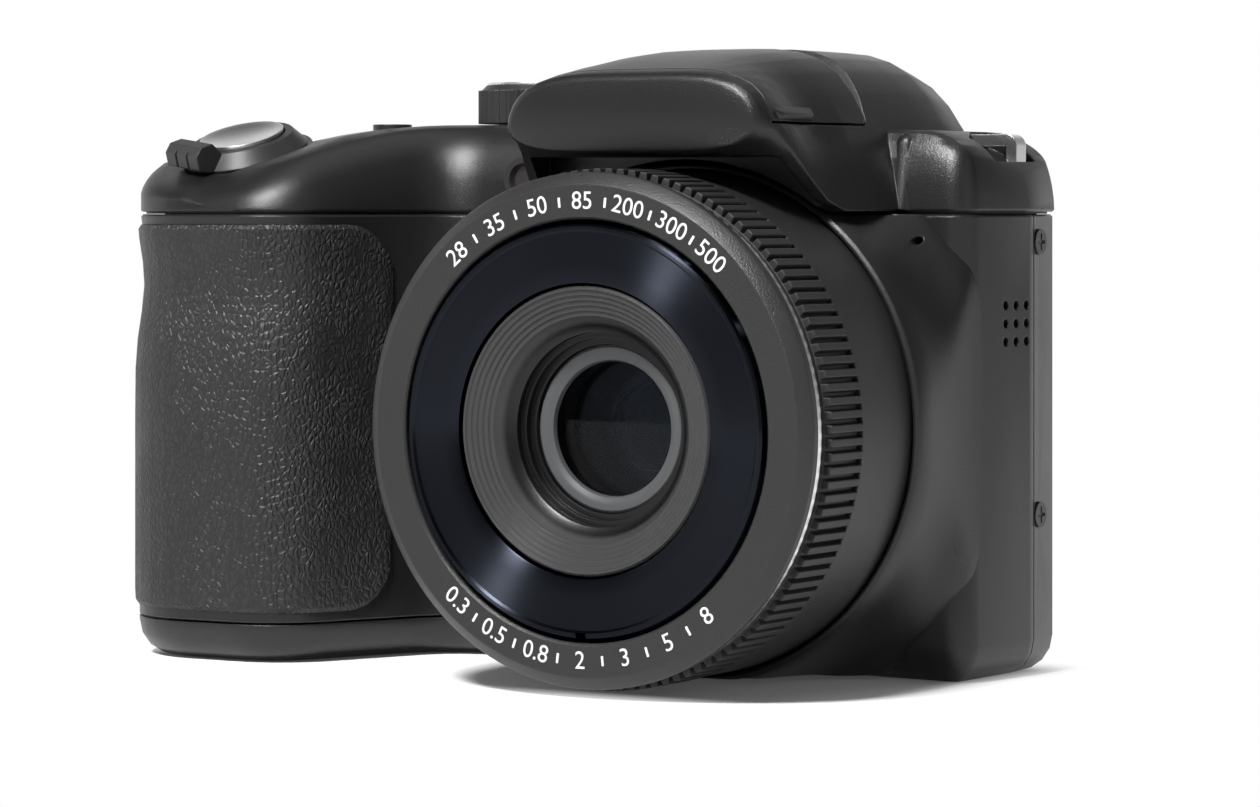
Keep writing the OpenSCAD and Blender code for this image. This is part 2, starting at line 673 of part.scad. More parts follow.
// Cross section of the slab at one station, from the front seam over the deck to the rear seam
function deck_section(p, q) =
  let(r = min(edge_round(p), 0.92 * p[4]), rr = p == q ? r : min(min(r, 6), 0.92 * q[4]))
  let(fi = moved(p, r), ri = moved(q, rr))
  concat([[each moved(p, 0.25), deck_low], [p[0], p[1], deck_low + 0.3]],
    [for (a = edge_steps) let(c = moved(p, r * (1 - cos(a)))) [c[0], c[1], mix(deck_low + 0.3, deck(c[0], c[1]), sin(a))]],
    [for (t = [1:3]) let(c = mix(fi, ri, t / 4)) [c[0], c[1], deck(c[0], c[1])]],
    [for (k = [4:-1:0]) let(a = edge_steps[k], c = moved(q, rr * (1 - cos(a)))) [c[0], c[1], mix(deck_low + 0.3, deck(c[0], c[1]), sin(a))]],
    [[q[0], q[1], deck_low + 0.3], [each moved(q, 0.25), deck_low]]);

// Low slab of the top cover, lofted from the grip end to the plain end
module slab() {
  f = slab_chain(seam_z);
  n = len(f);
  sections = [for (i = [0:n - 1]) deck_section(f[i], i == 0 || i == n - 1 ? f[i] : rear_point(f[i]))];
  m = len(sections[0]);
  over = [for (i = [0:n - 2]) for (j = [0:m - 2]) let(a = i * m + j, b = a + m)
    each [[a, a + 1, b + 1], [a, b + 1, b]]];
  under = [for (i = [0:n - 2]) let(a = i * m, b = a + m)
    each [[a, b, b + m - 1], [a, b + m - 1, a + m - 1]]];
  pts = [for (s = sections) each s];
  faces = [for (t = concat(over, under)) if (norm(cross(pts[t[1]] - pts[t[0]], pts[t[2]] - pts[t[0]])) > 0.0001) t];
  polyhedron(points = pts, faces = faces, convexity = 6);
}

// Shape of the hump over the lens at depth y, taken in by d
hump_back = body_back - 0.3;
function hump_fall(y) = ease(-brow_front + 1, -25, y);
function hump_sink(y) = 1.6 * ease(-12.5, -6, y);
function hump_mid(y) = mix(brow_low + 3.3, deck_low + 0.1, hump_fall(y)) + hump_sink(y);
function hump_low(y) = mix(brow_low, deck_low - 0.2, hump_fall(y)) + hump_sink(y);
function hump_high(y) = hump_top - (hump_top - brow_top) * pow(max(0, -12 - y) / (brow_front - 12), 2)
  - 2.5 * pow(max(0, y - 2) / 10, 2);
function hump_half(y) = brow_half + (min(y, -22) + brow_front) * 0.26 + max(0, y + 22) * 0.06;
function hump_power(y) = 4.6 - (y + brow_front) * 0.008;
function hump_soft(y) = mix(0.5, 1, ease(-brow_front, -22, y));

function hump_rise(u, y) = pow(1 - pow(min(1, abs(u)), hump_power(y)), hump_soft(y));
function hump_surface(x, y) = mix(hump_mid(y), hump_high(y), hump_rise(x / hump_half(y), y));
function hump_section(y, d, m) =
  let(w = hump_half(y) - d, c = hump_mid(y), t = hump_high(y) - d, b = min(hump_low(y) + d, c - 0.05))
  concat([for (k = [0:m]) let(u = sin(-90 + 180 * k / m)) [w * u, y, mix(c, t, hump_rise(u, y))]],
    [for (k = [m - 1:-1:1]) let(u = sin(-90 + 180 * k / m)) [w * u, y, mix(c, b, hump_rise(u, y))]]);

// Hump over the lens, lofted from the brow to the back; a hollow is the same shape taken in by d
module hump(d = 0) {
  ends = d > 0 ? [[[-brow_front + d, d]], [[hump_back - d, d + 1.5]]] :
    [[[-brow_front, 0.8], [-brow_front + 0.25, 0.3], [-brow_front + 0.8, 0]],
      [[hump_back - 2.4, 0.3], [hump_back - 0.8, 1.3], [hump_back, 2.8]]];
  run = [for (y = d > 0 ? [-34, -29, -24, -18, -10, -2, 5] : [-37, -34, -31, -28, -25, -21, -16, -10, -3, 3]) [y, d]];
  sections = [for (s = concat(ends[0], run, ends[1])) hump_section(s[0], s[1], d > 0 ? 12 : 22)];
  m = len(sections[0]);
  k = len(sections);
  sides = [for (i = [0:k - 2]) for (j = [0:m - 1]) let(e = (j + 1) % m, a = i * m, b = a + m)
    each [[a + j, b + j, b + e], [a + j, b + e, a + e]]];
  front = [for (j = [1:m - 2]) [0, j, j + 1]];
  rear = [for (j = [1:m - 2]) [(k - 1) * m, (k - 1) * m + j + 1, (k - 1) * m + j]];
  polyhedron(points = [for (s = sections) each s], faces = concat(front, sides, rear), convexity = 6);
}

// Side view of the space that the flash lid takes; wedge is the swing room behind it
lid_axis_y = -lid_rear - 1.35;
lid_axis_z = lid_low + 1.35;
module lid_space(gap, wedge) {
  r = 1.35 - gap;
  translate([-big / 2, 0, 0]) rotate([90, 0, 90]) linear_extrude(height = big)
    polygon(concat([[-lid_front + gap, 95], [-lid_front + gap, lid_low + gap]],
      [for (a = [-90:15:0]) [lid_axis_y + r * cos(a), lid_axis_z + r * sin(a)]],
      [[lid_axis_y + r + (95 - lid_axis_z) * tan(wedge), 95]]));
}

ear_x = 8.5;
ear_w = 3;
lid_ear_x = ear_x + 1.5 * ear_w + 0.4;
module ear(x, r) {
  translate([x, lid_axis_y, lid_axis_z]) rotate([0, 90, 0]) cylinder(r = r, h = ear_w, $fn = 32);
}

pocket_z = seam_z + 6.8;
lip_h = 1.4;
well_low = lens_z + tube_r + 3.5;
dial_x = -38.8;
dial_y = 2;
dial_z = deck_z + 0.25;
lamp_pos = [-30.8, 62.1];
power_pos = [-67, -2];
burst_pos = [-58.8, -4];
shutter_x = -70;
shutter_y = -22;
shutter_z = deck(shutter_x, shutter_y);
power_r = 2.4;
burst_r = 2.6;

// Local Z along the leaning axis of the shutter group
module on_shutter() {
  translate([shutter_x, shutter_y, shutter_z]) rotate([shutter_lean, 0, 0]) children();
}

// Hollow under the brow, between its side skirts
module brow_recess() {
  y0 = -brow_front + 1.2;
  y1 = -27;
  a = hump_half(y0) - 1.6;
  b = hump_half(y1) - 1.6;
  translate([0, 0, seam_z - 1]) linear_extrude(height = brow_low - 0.3 - seam_z + 1)
    polygon([[-a, y0], [a, y0], [b, y1], [-b, y1]]);
}

// Upright rounded rib where the shoulder begins
module shoulder_rib() {
  x = body_right - 11;
  translate([x, -body_front + 0.7, deck_low + 0.05]) rotate([-11, 0, 0]) {
    cylinder(r = 1.4, h = 8.3, $fn = 24);
    translate([0, 0, 8.3]) sphere(r = 1.4, $fn = 24);
  }
}

module top_cover() {
  color([0.09, 0.09, 0.095]) difference() {
    union() {
      difference() {
        union() {
          slab();
          shoulder_rib();
          hump();
          on_shutter() translate([0, 0, -3]) cylinder(r1 = lever_r + 1.7, r2 = lever_r + 0.6, h = 3.4);
        }
        difference() {
          lid_space(0, lid_open + 3);
          translate([-big, -big, -big]) cube([2 * big, big + lid_axis_y - 3, big]);
        }
        intersection() {
          hump(2);
          translate([-big, 1 - lid_front, well_low]) cube([2 * big, lid_front + body_back - 6, big]);
        }
        translate([0, 0, seam_z - 1]) linear_extrude(height = 4) polygon(ring(groove_z, 3.2));
        translate([-71.5, -9, seam_z]) cube([41.6, body_back - 4 + 9, pocket_z - seam_z]);
        translate([-30, -8.6, seam_z + 0.5]) cube([52, body_back - 4.2 + 8.6, pocket_z + 0.9 - seam_z]);
        brow_recess();
        on_lens() translate([0, 0, -1]) cylinder(r = collar_r + 0.4, h = 60);
      }
      difference() {
        union() {
          translate([0, 0, seam_z - lip_h]) linear_extrude(height = lip_h + 1) difference() {
            polygon(ring(groove_z, wall + 0.1));
            polygon(ring(groove_z, wall + 0.9));
          }
          translate([0, 0, body_top + seat_gap]) linear_extrude(height = 1) difference() {
            polygon(ring(seam_z, 0.7));
            polygon(ring(groove_z, wall + 0.85));
          }
        }
        on_lens() translate([0, 0, -2]) cylinder(r = collar_r + 0.4, h = 60);
      }
      for (s = [-1, 1]) hull() {
        ear(s * (ear_x + ear_w / 2) - ear_w / 2, 1.25);
        translate([s * (ear_x + ear_w / 2) - ear_w / 2, lid_axis_y - 1.2, well_low - 0.6]) cube([ear_w, 3, 0.2]);
      }
    }
    translate([0, lid_axis_y, lid_axis_z]) rotate([0, 90, 0]) cylinder(r = flash_pin_r, h = 2 * (ear_x + 2 * ear_w) + 0.4, center = true, $fn = 32);
    translate([dial_x, dial_y, 0]) cylinder(r = 2.5 + pin_gap, h = 90);
    translate([power_pos[0], power_pos[1], 60]) cylinder(r = power_r + button_gap, h = 20);
    translate([burst_pos[0], burst_pos[1], 60]) cylinder(r = burst_r + button_gap, h = 20);
    on_shutter() translate([0, 0, -12]) cylinder(r = 3 + button_gap, h = 20);
    on_shutter() translate([0, 0, 0.4]) cylinder(r = lever_r + 2.4, h = 20);
    translate([lamp_pos[0], -body_front + 6, lamp_pos[1]]) rotate([90, 0, 0]) cylinder(r = 2.9 + seat_gap, h = 12);
    for (side = [-1, 1]) lug_place(side) lug_notch();
  }
}

flash_pin_r = 0.8;

module flash_lid() {
  color([0.09, 0.09, 0.095]) difference() {
    union() {
      difference() {
        intersection() {
          hump();
          lid_space(seam_gap, 0);
        }
        hump(1.8);
      }
      for (s = [-1, 1]) {
        ear(s * lid_ear_x - ear_w / 2, 1.3 - seam_gap);
        translate([s * lid_ear_x - ear_w / 2, lid_axis_y - 0.4, lid_axis_z])
          cube([ear_w, 1.3, hump_surface(lid_ear_x + ear_w / 2, lid_axis_y) - 0.7 - lid_axis_z]);
      }
    }
    translate([0, lid_axis_y, lid_axis_z]) rotate([0, 90, 0]) cylinder(r = flash_pin_r + pin_gap, h = 2 * lid_ear_x + ear_w + 0.4, center = true, $fn = 32);
  }
}

module flash_pin() {
  color([0.7, 0.7, 0.72]) translate([0, lid_axis_y, lid_axis_z]) rotate([0, 90, 0])
    cylinder(r = flash_pin_r - 0.01, h = 2 * (ear_x + 2 * ear_w), center = true, $fn = 32);
}

flash_w = 22;
flash_y = -lid_front + seam_gap + 0.1;
flash_low = lid_low + 0.6;
flash_top = hump_surface(flash_w / 2, flash_y) - 2.1;
module flash_window() {
  color([0.85, 0.87, 0.9])
    translate([-flash_w / 2, flash_y, flash_low]) cube([flash_w, 1, flash_top - flash_low]);
}

module flash_reflector() {
  color([0.85, 0.85, 0.86]) difference() {
    translate([-flash_w / 2, flash_y + 1 + seat_gap, flash_low]) cube([flash_w, 7, flash_top - flash_low]);
    translate([-flash_w / 2 + 1, flash_y + 0.5, flash_low + 0.4]) cube([flash_w - 2, 5, flash_top - flash_low - 0.8]);
  }
}

module flash_tube() {
  color([0.9, 0.9, 0.86]) translate([-flash_w / 2 + 1, flash_y + 4, (flash_low + flash_top) / 2])
    rotate([0, 90, 0]) cylinder(r = 0.95, h = flash_w - 2);
}

// Lens unit, profiles are radius and distance forward of the tripod plane
lens_back = 7;
neck_r = tube_r - 2.1;
housing_in_r = tube_r - 3.3;
neck_end = lens_front - 3;
tube_end = lens_front - 12.8;
rib_low = tube_end + 0.2;
rib_high = lens_front - 4.8;
flange_y = body_front - 0.8 + seat_gap;
module lens_housing() {
  color([0.1, 0.1, 0.105]) on_lens() rotate_extrude() polygon([[bore_r - 2.4, lens_back],
    [bore_r - 2.4, lens_back + 2.6], [housing_in_r, lens_back + 2.6], [housing_in_r, neck_end], [neck_r, neck_end],
    [neck_r, tube_end], [tube_r, tube_end], [tube_r, flange_y], [bore_r, flange_y], [bore_r, lens_back]]);
}

module guide_tube() {
  color([0.14, 0.14, 0.145]) on_lens() difference() {
    rotate_extrude() polygon([[7.6, lens_back], [7.6, lens_back + 0.6], [rear_r + seat_gap, lens_back + 0.6],
      [rear_r + seat_gap, lens_back + 1.8], [bezel_in_r, lens_back + 1.8], [bezel_in_r, neck_end - 0.2],
      [housing_in_r - seat_gap, neck_end - 0.2], [housing_in_r - seat_gap, lens_back + 2.65],
      [bore_r - 2.45, lens_back + 2.65], [bore_r - 2.45, lens_back]]);
    for (a = [30, 150, 270]) rotate(a) translate([bezel_in_r - 0.2, -0.8, 12]) cube([4, 1.6, tube_end - 12]);
  }
}

function rib_point(i) = let(a = 360 / rib_count, k = floor(i / 4), j = i % 4)
  let(t = (k + [0.1, 0.2, 0.72, 0.82][j]) * a, r = rib_r - (j == 1 || j == 2 ? 0 : rib_depth)) [r * cos(t), r * sin(t)];
rib_r = tube_r + 0.25;

module ribbed_ring() {
  color([0.1, 0.1, 0.105]) on_lens() difference() {
    union() {
      translate([0, 0, rib_low]) linear_extrude(height = rib_high - rib_low, convexity = 6)
        polygon([for (i = [0:4 * rib_count - 1]) rib_point(i)]);
      translate([0, 0, rib_high - 0.1]) cylinder(r = rib_r - rib_depth - 0.1, h = 1.2);
    }
    translate([0, 0, rib_low - 8]) cylinder(r = neck_r + seat_gap, h = 20);
  }
}

module trim_ring() {
  r = bezel_r - 0.15;
  color([0.86, 0.86, 0.87]) on_lens() rotate_extrude() polygon([[neck_r + seat_gap, rib_high + 1.15],
    [r - 0.1, rib_high + 1.15], [r, rib_high + 1.3], [r, neck_end + 0.55], [r - 0.1, neck_end + 0.68],
    [bezel_r - 1.1, neck_end + 0.68], [bezel_r - 1.1, neck_end - 0.02], [neck_r + seat_gap, neck_end - 0.02]]);
}

module lens_bezel() {
  f = lens_front;
  b = neck_end + seat_gap;
  color([0.1, 0.1, 0.105]) on_lens() rotate_extrude() polygon([[bezel_in_r, b], [bezel_in_r, f - 0.3],
    [bezel_in_r + 0.3, f], [bezel_r - 1.4, f], [bezel_r - 0.1, f - 1], [bezel_r + 0.1, f - 1.3],
    [bezel_r + 0.1, b + 0.68], [bezel_r - 1.15, b + 0.68], [bezel_r - 1.15, b]]);
}

barrel_r = bezel_in_r - 0.6;

// Outer moving barrel with its dark front ring
module zoom_barrel() {
  f = lens_front;
  color([0.05, 0.06, 0.07]) on_lens() difference() {
    union() {
      rotate_extrude() polygon([[inner_r + 0.3, f - 1.5], [inner_r + 0.3, f - 0.35], [inner_r + 0.6, f - 0.2],
        [barrel_r - 0.9, f - 0.05], [barrel_r - 0.6, f + 0.2], [barrel_r - 0.25, f + 0.2], [barrel_r, f - 0.1],
        [barrel_r, 18], [barrel_r - 1.5, 18], [barrel_r - 1.5, f - 1.5]]);
      rotate_extrude() polygon([[inner_r + 0.3, 19], [inner_r + 0.3, 21], [barrel_r - 1, 21], [barrel_r - 1, 19]]);
    }
    translate([0, -barrel_r, f - 0.3]) cube([1.4, 1.3, 4], center = true);
  }
}

// Inner moving barrel, its mouth a stepped baffle cone
module inner_barrel() {
  f = lens_front;
  step = 0.62;
  cone = [for (k = [0:5]) each [[inner_r - 0.5 - k * step, f - 0.45 - k * 0.3], [inner_r - 0.5 - k * step - 0.2, f - 0.75 - k * 0.3]]];
  color([0.08, 0.08, 0.085]) on_lens() rotate_extrude() polygon(concat([[inner_r, f - 0.8], [inner_r - 0.3, f - 0.45]], cone,
    [[12, f - 4], [11.7, f - 4.2], [11.7, f - 5.2], [11, f - 5.2], [11, f - 6.2], [10.2, f - 6.2], [10.2, f - 11],
      [8.4, f - 11], [8.4, f - 13], [11.4, f - 13], [11.4, f - 30], [inner_r, f - 30]]));
}

module retaining_ring() {
  f = lens_front;
  color([0.32, 0.33, 0.35]) on_lens() rotate_extrude() polygon([[8.1, f - 7.55], [8.3, f - 7.0], [9.2, f - 6.6], [9.8, f - 6.6],
    [10.2 - seat_gap, f - 6.9], [10.2 - seat_gap, f - 8.15], [9.2, f - 7.9], [8.1, f - 7.62]]);
}

// Front group lens, both faces rounded
function dome(r, sag, z, m) = [for (k = [0:m]) let(x = r * k / m) [x, z + sag * (1 - pow(x / r, 2))]];
module front_glass() {
  f = lens_front;
  color([0.3, 0.35, 0.42]) on_lens() rotate_extrude() polygon(concat(dome(10.2 - seat_gap, 1.5, f - 8.25, 16),
    [[10.2 - seat_gap, f - 10.9], [0, f - 10.4]]));
}

module middle_glass() {
  f = lens_front;
  color([0.3, 0.35, 0.42]) on_lens() rotate_extrude() polygon(concat([[0, f - 16.6]], [[11.4 - seat_gap, f - 16.6], [11.4 - seat_gap, f - 14.5]],
    [for (k = [16:-1:0]) let(x = 11.4 * k / 16) [min(x, 11.4 - seat_gap), f - 13.2 - 1.2 * pow(x / 11.4, 2)]]));
}

module iris_unit() {
  f = lens_front;
  color([0.07, 0.07, 0.075]) on_lens() difference() {
    translate([0, 0, f - 20]) cylinder(r = 11.4 - seat_gap, h = 3.3);
    translate([0, 0, f - 21]) cylinder(r = 5, h = 6);
    translate([0, 0, f - 18.6]) cylinder(r = 9.5, h = 1);
  }
}

module rear_glass() {
  color([0.3, 0.35, 0.42]) on_lens() rotate_extrude() polygon(concat([[0, lens_back + 0.65], [rear_r, lens_back + 0.65]],
    [for (k = [12:-1:0]) let(x = rear_r * k / 12) [x, lens_back + 2.2 + 1.6 * (1 - pow(x / rear_r, 2))]]));
}

rear_r = 9;

module image_sensor() {
  color([0.2, 0.28, 0.4]) {
    translate([-5, 0.3 - lens_back, lens_z - 4]) cube([10, 2, 8]);
    translate([-8.5, 1.6 - lens_back, lens_z - 7.5]) cube([17, lens_back - 3 - seat_gap, 15]);
  }
}

module zoom_motor() {
  color([0.5, 0.5, 0.52]) {
    translate([-grip_root_x + 7, -7.2, 12]) cylinder(r = 3.6, h = 18);
    translate([-grip_root_x + 7, -7.2, 29.9]) cylinder(r = 1.9, h = 6, $fn = 24);
  }
}

// Shutter group on the grip
module zoom_lever() {
  color([0.2, 0.2, 0.205]) on_shutter() difference() {
    union() {
      translate([0, 0, 0.6]) cylinder(r1 = lever_r, r2 = lever_r - 1.6, h = 2);
      rotate(-110) lever_tab();
    }
    translate([0, 0, -1]) cylinder(r = shutter_r + button_gap, h = 10);
    rotate(-110) for (i = [-0.5, 0.5]) translate([lever_r + tab_out, 2.5 * i, 1]) cube([0.8, 0.5, 8], center = true);
  }
}

// Finger tab of the zoom lever, its upper edge broken
tab_out = 1.4;
tab_w = 7.2;
tab_top = 4.3;
module lever_tab() {
  e = lever_r + tab_out;
  translate([0, tab_w / 2, 0]) rotate([90, 0, 0]) linear_extrude(height = tab_w)
    polygon([[lever_r - 2.5, 0.65], [lever_r - 0.3, 0.65], [e, 1.5], [e, tab_top - 1], [e - 1, tab_top],
      [lever_r - 1.4, tab_top], [lever_r - 2.5, tab_top - 1.6]]);
}

module shutter_button() {
  color([0.75, 0.75, 0.76]) on_shutter() {
    difference() {
      translate([0, 0, 1.8]) cylinder(r = shutter_r, h = 1.3);
      translate([0, 0, 3.1 + 29.5]) sphere(r = 30);
    }
    translate([0, 0, -6.4]) cylinder(r = 3, h = 8.4);
  }
}

module power_button() {
  color([0.7, 0.7, 0.71]) translate([power_pos[0], power_pos[1], pocket_z - 1 - seat_gap]) {
    cylinder(r = power_r, h = deck(power_pos[0], power_pos[1]) + 1.6 - pocket_z);
    cylinder(r = power_r + 0.9, h = 1);
  }
}

module burst_button() {
  color([0.1, 0.1, 0.105]) translate([burst_pos[0], burst_pos[1], pocket_z - 1 - seat_gap]) {
    cylinder(r = burst_r, h = deck(burst_pos[0], burst_pos[1]) + 2.1 - pocket_z);
    cylinder(r = burst_r + 0.9, h = 1);
  }
}

module mode_dial() {
  color([0.1, 0.1, 0.105]) translate([dial_x, dial_y, 0]) {
    translate([0, 0, dial_z]) linear_extrude(height = dial_h - 1)
      polygon([for (k = [0:2 * dial_knurls - 1]) let(r = dial_r - (k % 2) * 0.35, a = 180 * k / dial_knurls) [r * cos(a), r * sin(a)]]);
    translate([0, 0, dial_z + dial_h - 1]) cylinder(r1 = dial_r - 0.4, r2 = dial_r - 1.1, h = 0.7);
    translate([0, 0, 60.5]) cylinder(r = 2.5, h = dial_z - 60);
    translate([0, 0, pocket_z - 1.2]) cylinder(r = 3.6, h = 1.2 - 2 * seat_gap);
  }
}

module dial_cap() {
  color([0.75, 0.75, 0.76]) translate([dial_x, dial_y, dial_z + dial_h - 0.3]) difference() {
    cylinder(r = dial_r - 1.2, h = 0.3);
    translate([0, 0, 0.18]) cylinder(r = dial_r - 1.9, h = 1);
  }
}

module focus_lamp() {
  color([0.12, 0.1, 0.1]) translate([lamp_pos[0], -body_front + 2.6, lamp_pos[1]]) rotate([90, 0, 0]) {
    difference() {
      cylinder(r = 2.9, h = 5);
      translate([0, 0, 4.2]) cylinder(r1 = 1.7, r2 = 2.3, h = 1);
    }
  }
}

// Screen and rear controls
module screen_window() {
  color([0.03, 0.03, 0.035]) on_back(screen_x, screen_z) translate([0, 0, -0.65]) cube([screen_w, screen_h, 1.0], center = true);
}

module screen_panel() {
  color([0.05, 0.06, 0.08]) on_back(screen_x, screen_z) translate([0, 0, -3.1])
    cube([screen_w - 2 * lcd_frame - 0.4, screen_h - 2 * lcd_frame - 0.4, 3.8], center = true);
}

module back_button(p, r, proud) {
  on_back(p[0], p[1]) {
    translate([0, 0, -wall - 0.5]) cylinder(r = r, h = wall + 0.5 + proud - 0.3);
    translate([0, 0, proud - 0.31]) cylinder(r1 = r, r2 = r - 0.3, h = 0.31);
    translate([0, 0, -wall - 0.8 - seat_gap]) cylinder(r = r + 0.8, h = 0.8);
  }
}

module nav_ring() {
  color([0.12, 0.12, 0.125]) difference() {
    back_button([nav_x, nav_z], nav_r, 1.1);
    on_back(nav_x, nav_z) translate([0, 0, -10]) cylinder(r = ok_r + button_gap, h = 20);
  }
}

ok_r = 4;

module ok_button() {
  color([0.12, 0.12, 0.125]) on_back(nav_x, nav_z) {
    translate([0, 0, -wall - 1.1]) cylinder(r = ok_r, h = wall + 1.9);
  }
}

module menu_button() {
  color([0.12, 0.12, 0.125]) back_button(small_buttons()[0], small_r, 0.7);
}

module play_button() {
  color([0.12, 0.12, 0.125]) back_button(small_buttons()[1], small_r, 0.7);
}

module delete_button() {
  color([0.12, 0.12, 0.125]) back_button(small_buttons()[2], small_r, 0.7);
}

module info_button() {
  color([0.12, 0.12, 0.125]) back_button(small_buttons()[3], small_r, 0.7);
}

module record_button() {
  color([0.5, 0.08, 0.07]) back_button(record_pos, small_r, 0.5);
}

front_cover();
rear_cover();
top_cover();
grip_rubber();
battery_door();
battery_pin();
battery_latch();
battery_box();
battery_cells();
battery_contacts();
chassis();
main_board();
tripod_socket();
strap_lugs();
cover_screws();
speaker();
microphone();
port_cover();
usb_port();
lens_housing();
ribbed_ring();
trim_ring();
lens_bezel();
guide_tube();
zoom_barrel();
inner_barrel();
retaining_ring();
front_glass();
middle_glass();
rear_glass();
iris_unit();
image_sensor();
zoom_motor();
shutter_button();
zoom_lever();
power_button();
burst_button();
mode_dial();
dial_cap();
focus_lamp();
flash_lid();
flash_window();
flash_reflector();
flash_tube();
flash_pin();
screen_panel();
screen_window();
nav_ring();
ok_button();
menu_button();
play_button();
delete_button();
info_button();
record_button();
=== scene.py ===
import math

import bmesh
import bpy
from mathutils import Matrix, Vector
from mathutils.bvhtree import BVHTree


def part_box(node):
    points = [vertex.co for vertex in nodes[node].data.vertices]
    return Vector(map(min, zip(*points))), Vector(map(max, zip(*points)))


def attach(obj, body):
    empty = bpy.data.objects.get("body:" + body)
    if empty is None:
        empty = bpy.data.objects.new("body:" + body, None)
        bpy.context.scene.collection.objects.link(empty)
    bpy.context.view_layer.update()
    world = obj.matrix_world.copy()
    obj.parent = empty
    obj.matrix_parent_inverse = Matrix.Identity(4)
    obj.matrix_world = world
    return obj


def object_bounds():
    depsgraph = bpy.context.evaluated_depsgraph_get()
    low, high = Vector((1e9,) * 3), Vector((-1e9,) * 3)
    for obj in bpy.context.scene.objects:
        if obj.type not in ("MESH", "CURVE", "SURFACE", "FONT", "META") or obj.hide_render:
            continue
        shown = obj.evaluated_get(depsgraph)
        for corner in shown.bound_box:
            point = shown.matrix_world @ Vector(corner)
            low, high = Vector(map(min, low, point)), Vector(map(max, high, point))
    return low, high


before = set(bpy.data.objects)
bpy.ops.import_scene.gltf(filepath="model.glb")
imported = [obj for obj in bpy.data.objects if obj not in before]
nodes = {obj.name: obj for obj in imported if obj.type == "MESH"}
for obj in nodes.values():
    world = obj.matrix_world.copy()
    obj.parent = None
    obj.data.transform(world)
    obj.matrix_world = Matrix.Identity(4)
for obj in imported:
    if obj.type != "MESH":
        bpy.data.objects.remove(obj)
cad_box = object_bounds()

# Studio: a white table that runs on into a white wall, a large lamp above the front,
# a wide soft panel overhead and a weak one on each side. The camera stands level with the
# upper half of the body, to the right of the lens, and far off behind a long lens.
def add(tree, kind, **values):
    """A node with its sockets or properties set by name."""
    n = tree.nodes.new(kind)
    for key, value in values.items():
        name = key.replace("_", " ")
        found = [s for s in n.inputs if s.name.lower() == name.lower()]
        if found:
            found[0].default_value = value
        else:
            setattr(n, key, value)
    return n


world = bpy.data.worlds.new("white_studio")
bpy.context.scene.world = world
world.use_nodes = True
air = world.node_tree
air.nodes.clear()
seen = add(air, "ShaderNodeLightPath")
seen_through = add(air, "ShaderNodeMath", operation="MAXIMUM")
air.links.new(seen.outputs["Is Camera Ray"], seen_through.inputs[0])
air.links.new(seen.outputs["Is Transmission Ray"], seen_through.inputs[1])
room = add(air, "ShaderNodeTexCoord")
room_side = add(air, "ShaderNodeVectorMath", operation="DOT_PRODUCT")
room_side.inputs[1].default_value = (0.516, -0.857, 0.65)
room_light = add(air, "ShaderNodeMapRange", interpolation_type="SMOOTHSTEP", From_Min=-0.85, From_Max=-0.2,
                 To_Min=1.0, To_Max=0.07)
air.links.new(room.outputs["Generated"], room_side.inputs[0])
air.links.new(room_side.outputs["Value"], room_light.inputs["Value"])
fill_air = add(air, "ShaderNodeBackground", Color=(1, 1, 1, 1), Strength=0.1)
mirror_air = add(air, "ShaderNodeBackground", Color=(1, 1, 1, 1))
air.links.new(room_light.outputs["Result"], mirror_air.inputs["Strength"])
white_air = add(air, "ShaderNodeBackground", Color=(1, 1, 1, 1), Strength=1.0)
mirrored = add(air, "ShaderNodeMixShader")
air.links.new(seen.outputs["Is Glossy Ray"], mirrored.inputs["Fac"])
air.links.new(fill_air.outputs[0], mirrored.inputs[1])
air.links.new(mirror_air.outputs[0], mirrored.inputs[2])
pick_air = add(air, "ShaderNodeMixShader")
air.links.new(seen_through.outputs[0], pick_air.inputs["Fac"])
air.links.new(mirrored.outputs[0], pick_air.inputs[1])
air.links.new(white_air.outputs[0], pick_air.inputs[2])
air_out = add(air, "ShaderNodeOutputWorld")
air.links.new(pick_air.outputs[0], air_out.inputs["Surface"])

bpy.ops.object.select_all(action="DESELECT")
bpy.ops.mesh.primitive_plane_add(size=12, location=(0, 0, cad_box[0].z))
table = bpy.context.object
table.name = "table_top"
bpy.ops.object.transform_apply(location=True, rotation=True, scale=True)
table_paint = bpy.data.materials.new("white_table")
table_paint.use_nodes = True
paint = table_paint.node_tree
paint.nodes.clear()
table_matt = add(paint, "ShaderNodeBsdfDiffuse", Color=(0.93, 0.93, 0.93, 1))
table_far = add(paint, "ShaderNodeEmission", Color=(1, 1, 1, 1))
place = add(paint, "ShaderNodeTexCoord")
from_foot = add(paint, "ShaderNodeVectorMath", operation="SUBTRACT")
from_foot.inputs[1].default_value = (-0.0245, -0.018, 0)
each_way = add(paint, "ShaderNodeVectorMath", operation="ABSOLUTE")
past_foot = add(paint, "ShaderNodeVectorMath", operation="SUBTRACT")
past_foot.inputs[1].default_value = (0.052, 0.024, 0)
outside = add(paint, "ShaderNodeVectorMath", operation="MAXIMUM")
spread = add(paint, "ShaderNodeVectorMath", operation="LENGTH")
paint.links.new(place.outputs["Object"], from_foot.inputs[0])
paint.links.new(from_foot.outputs[0], each_way.inputs[0])
paint.links.new(each_way.outputs[0], past_foot.inputs[0])
paint.links.new(past_foot.outputs[0], outside.inputs[0])
paint.links.new(outside.outputs[0], spread.inputs[0])
fade = add(paint, "ShaderNodeMapRange", interpolation_type="SMOOTHSTEP", From_Min=-0.002, From_Max=0.013)
paint.links.new(spread.outputs["Value"], fade.inputs["Value"])
table_seen = add(paint, "ShaderNodeLightPath")
either = add(paint, "ShaderNodeMath", operation="MAXIMUM")
any_way = add(paint, "ShaderNodeMath", operation="MAXIMUM")
paint.links.new(table_seen.outputs["Is Camera Ray"], either.inputs[0])
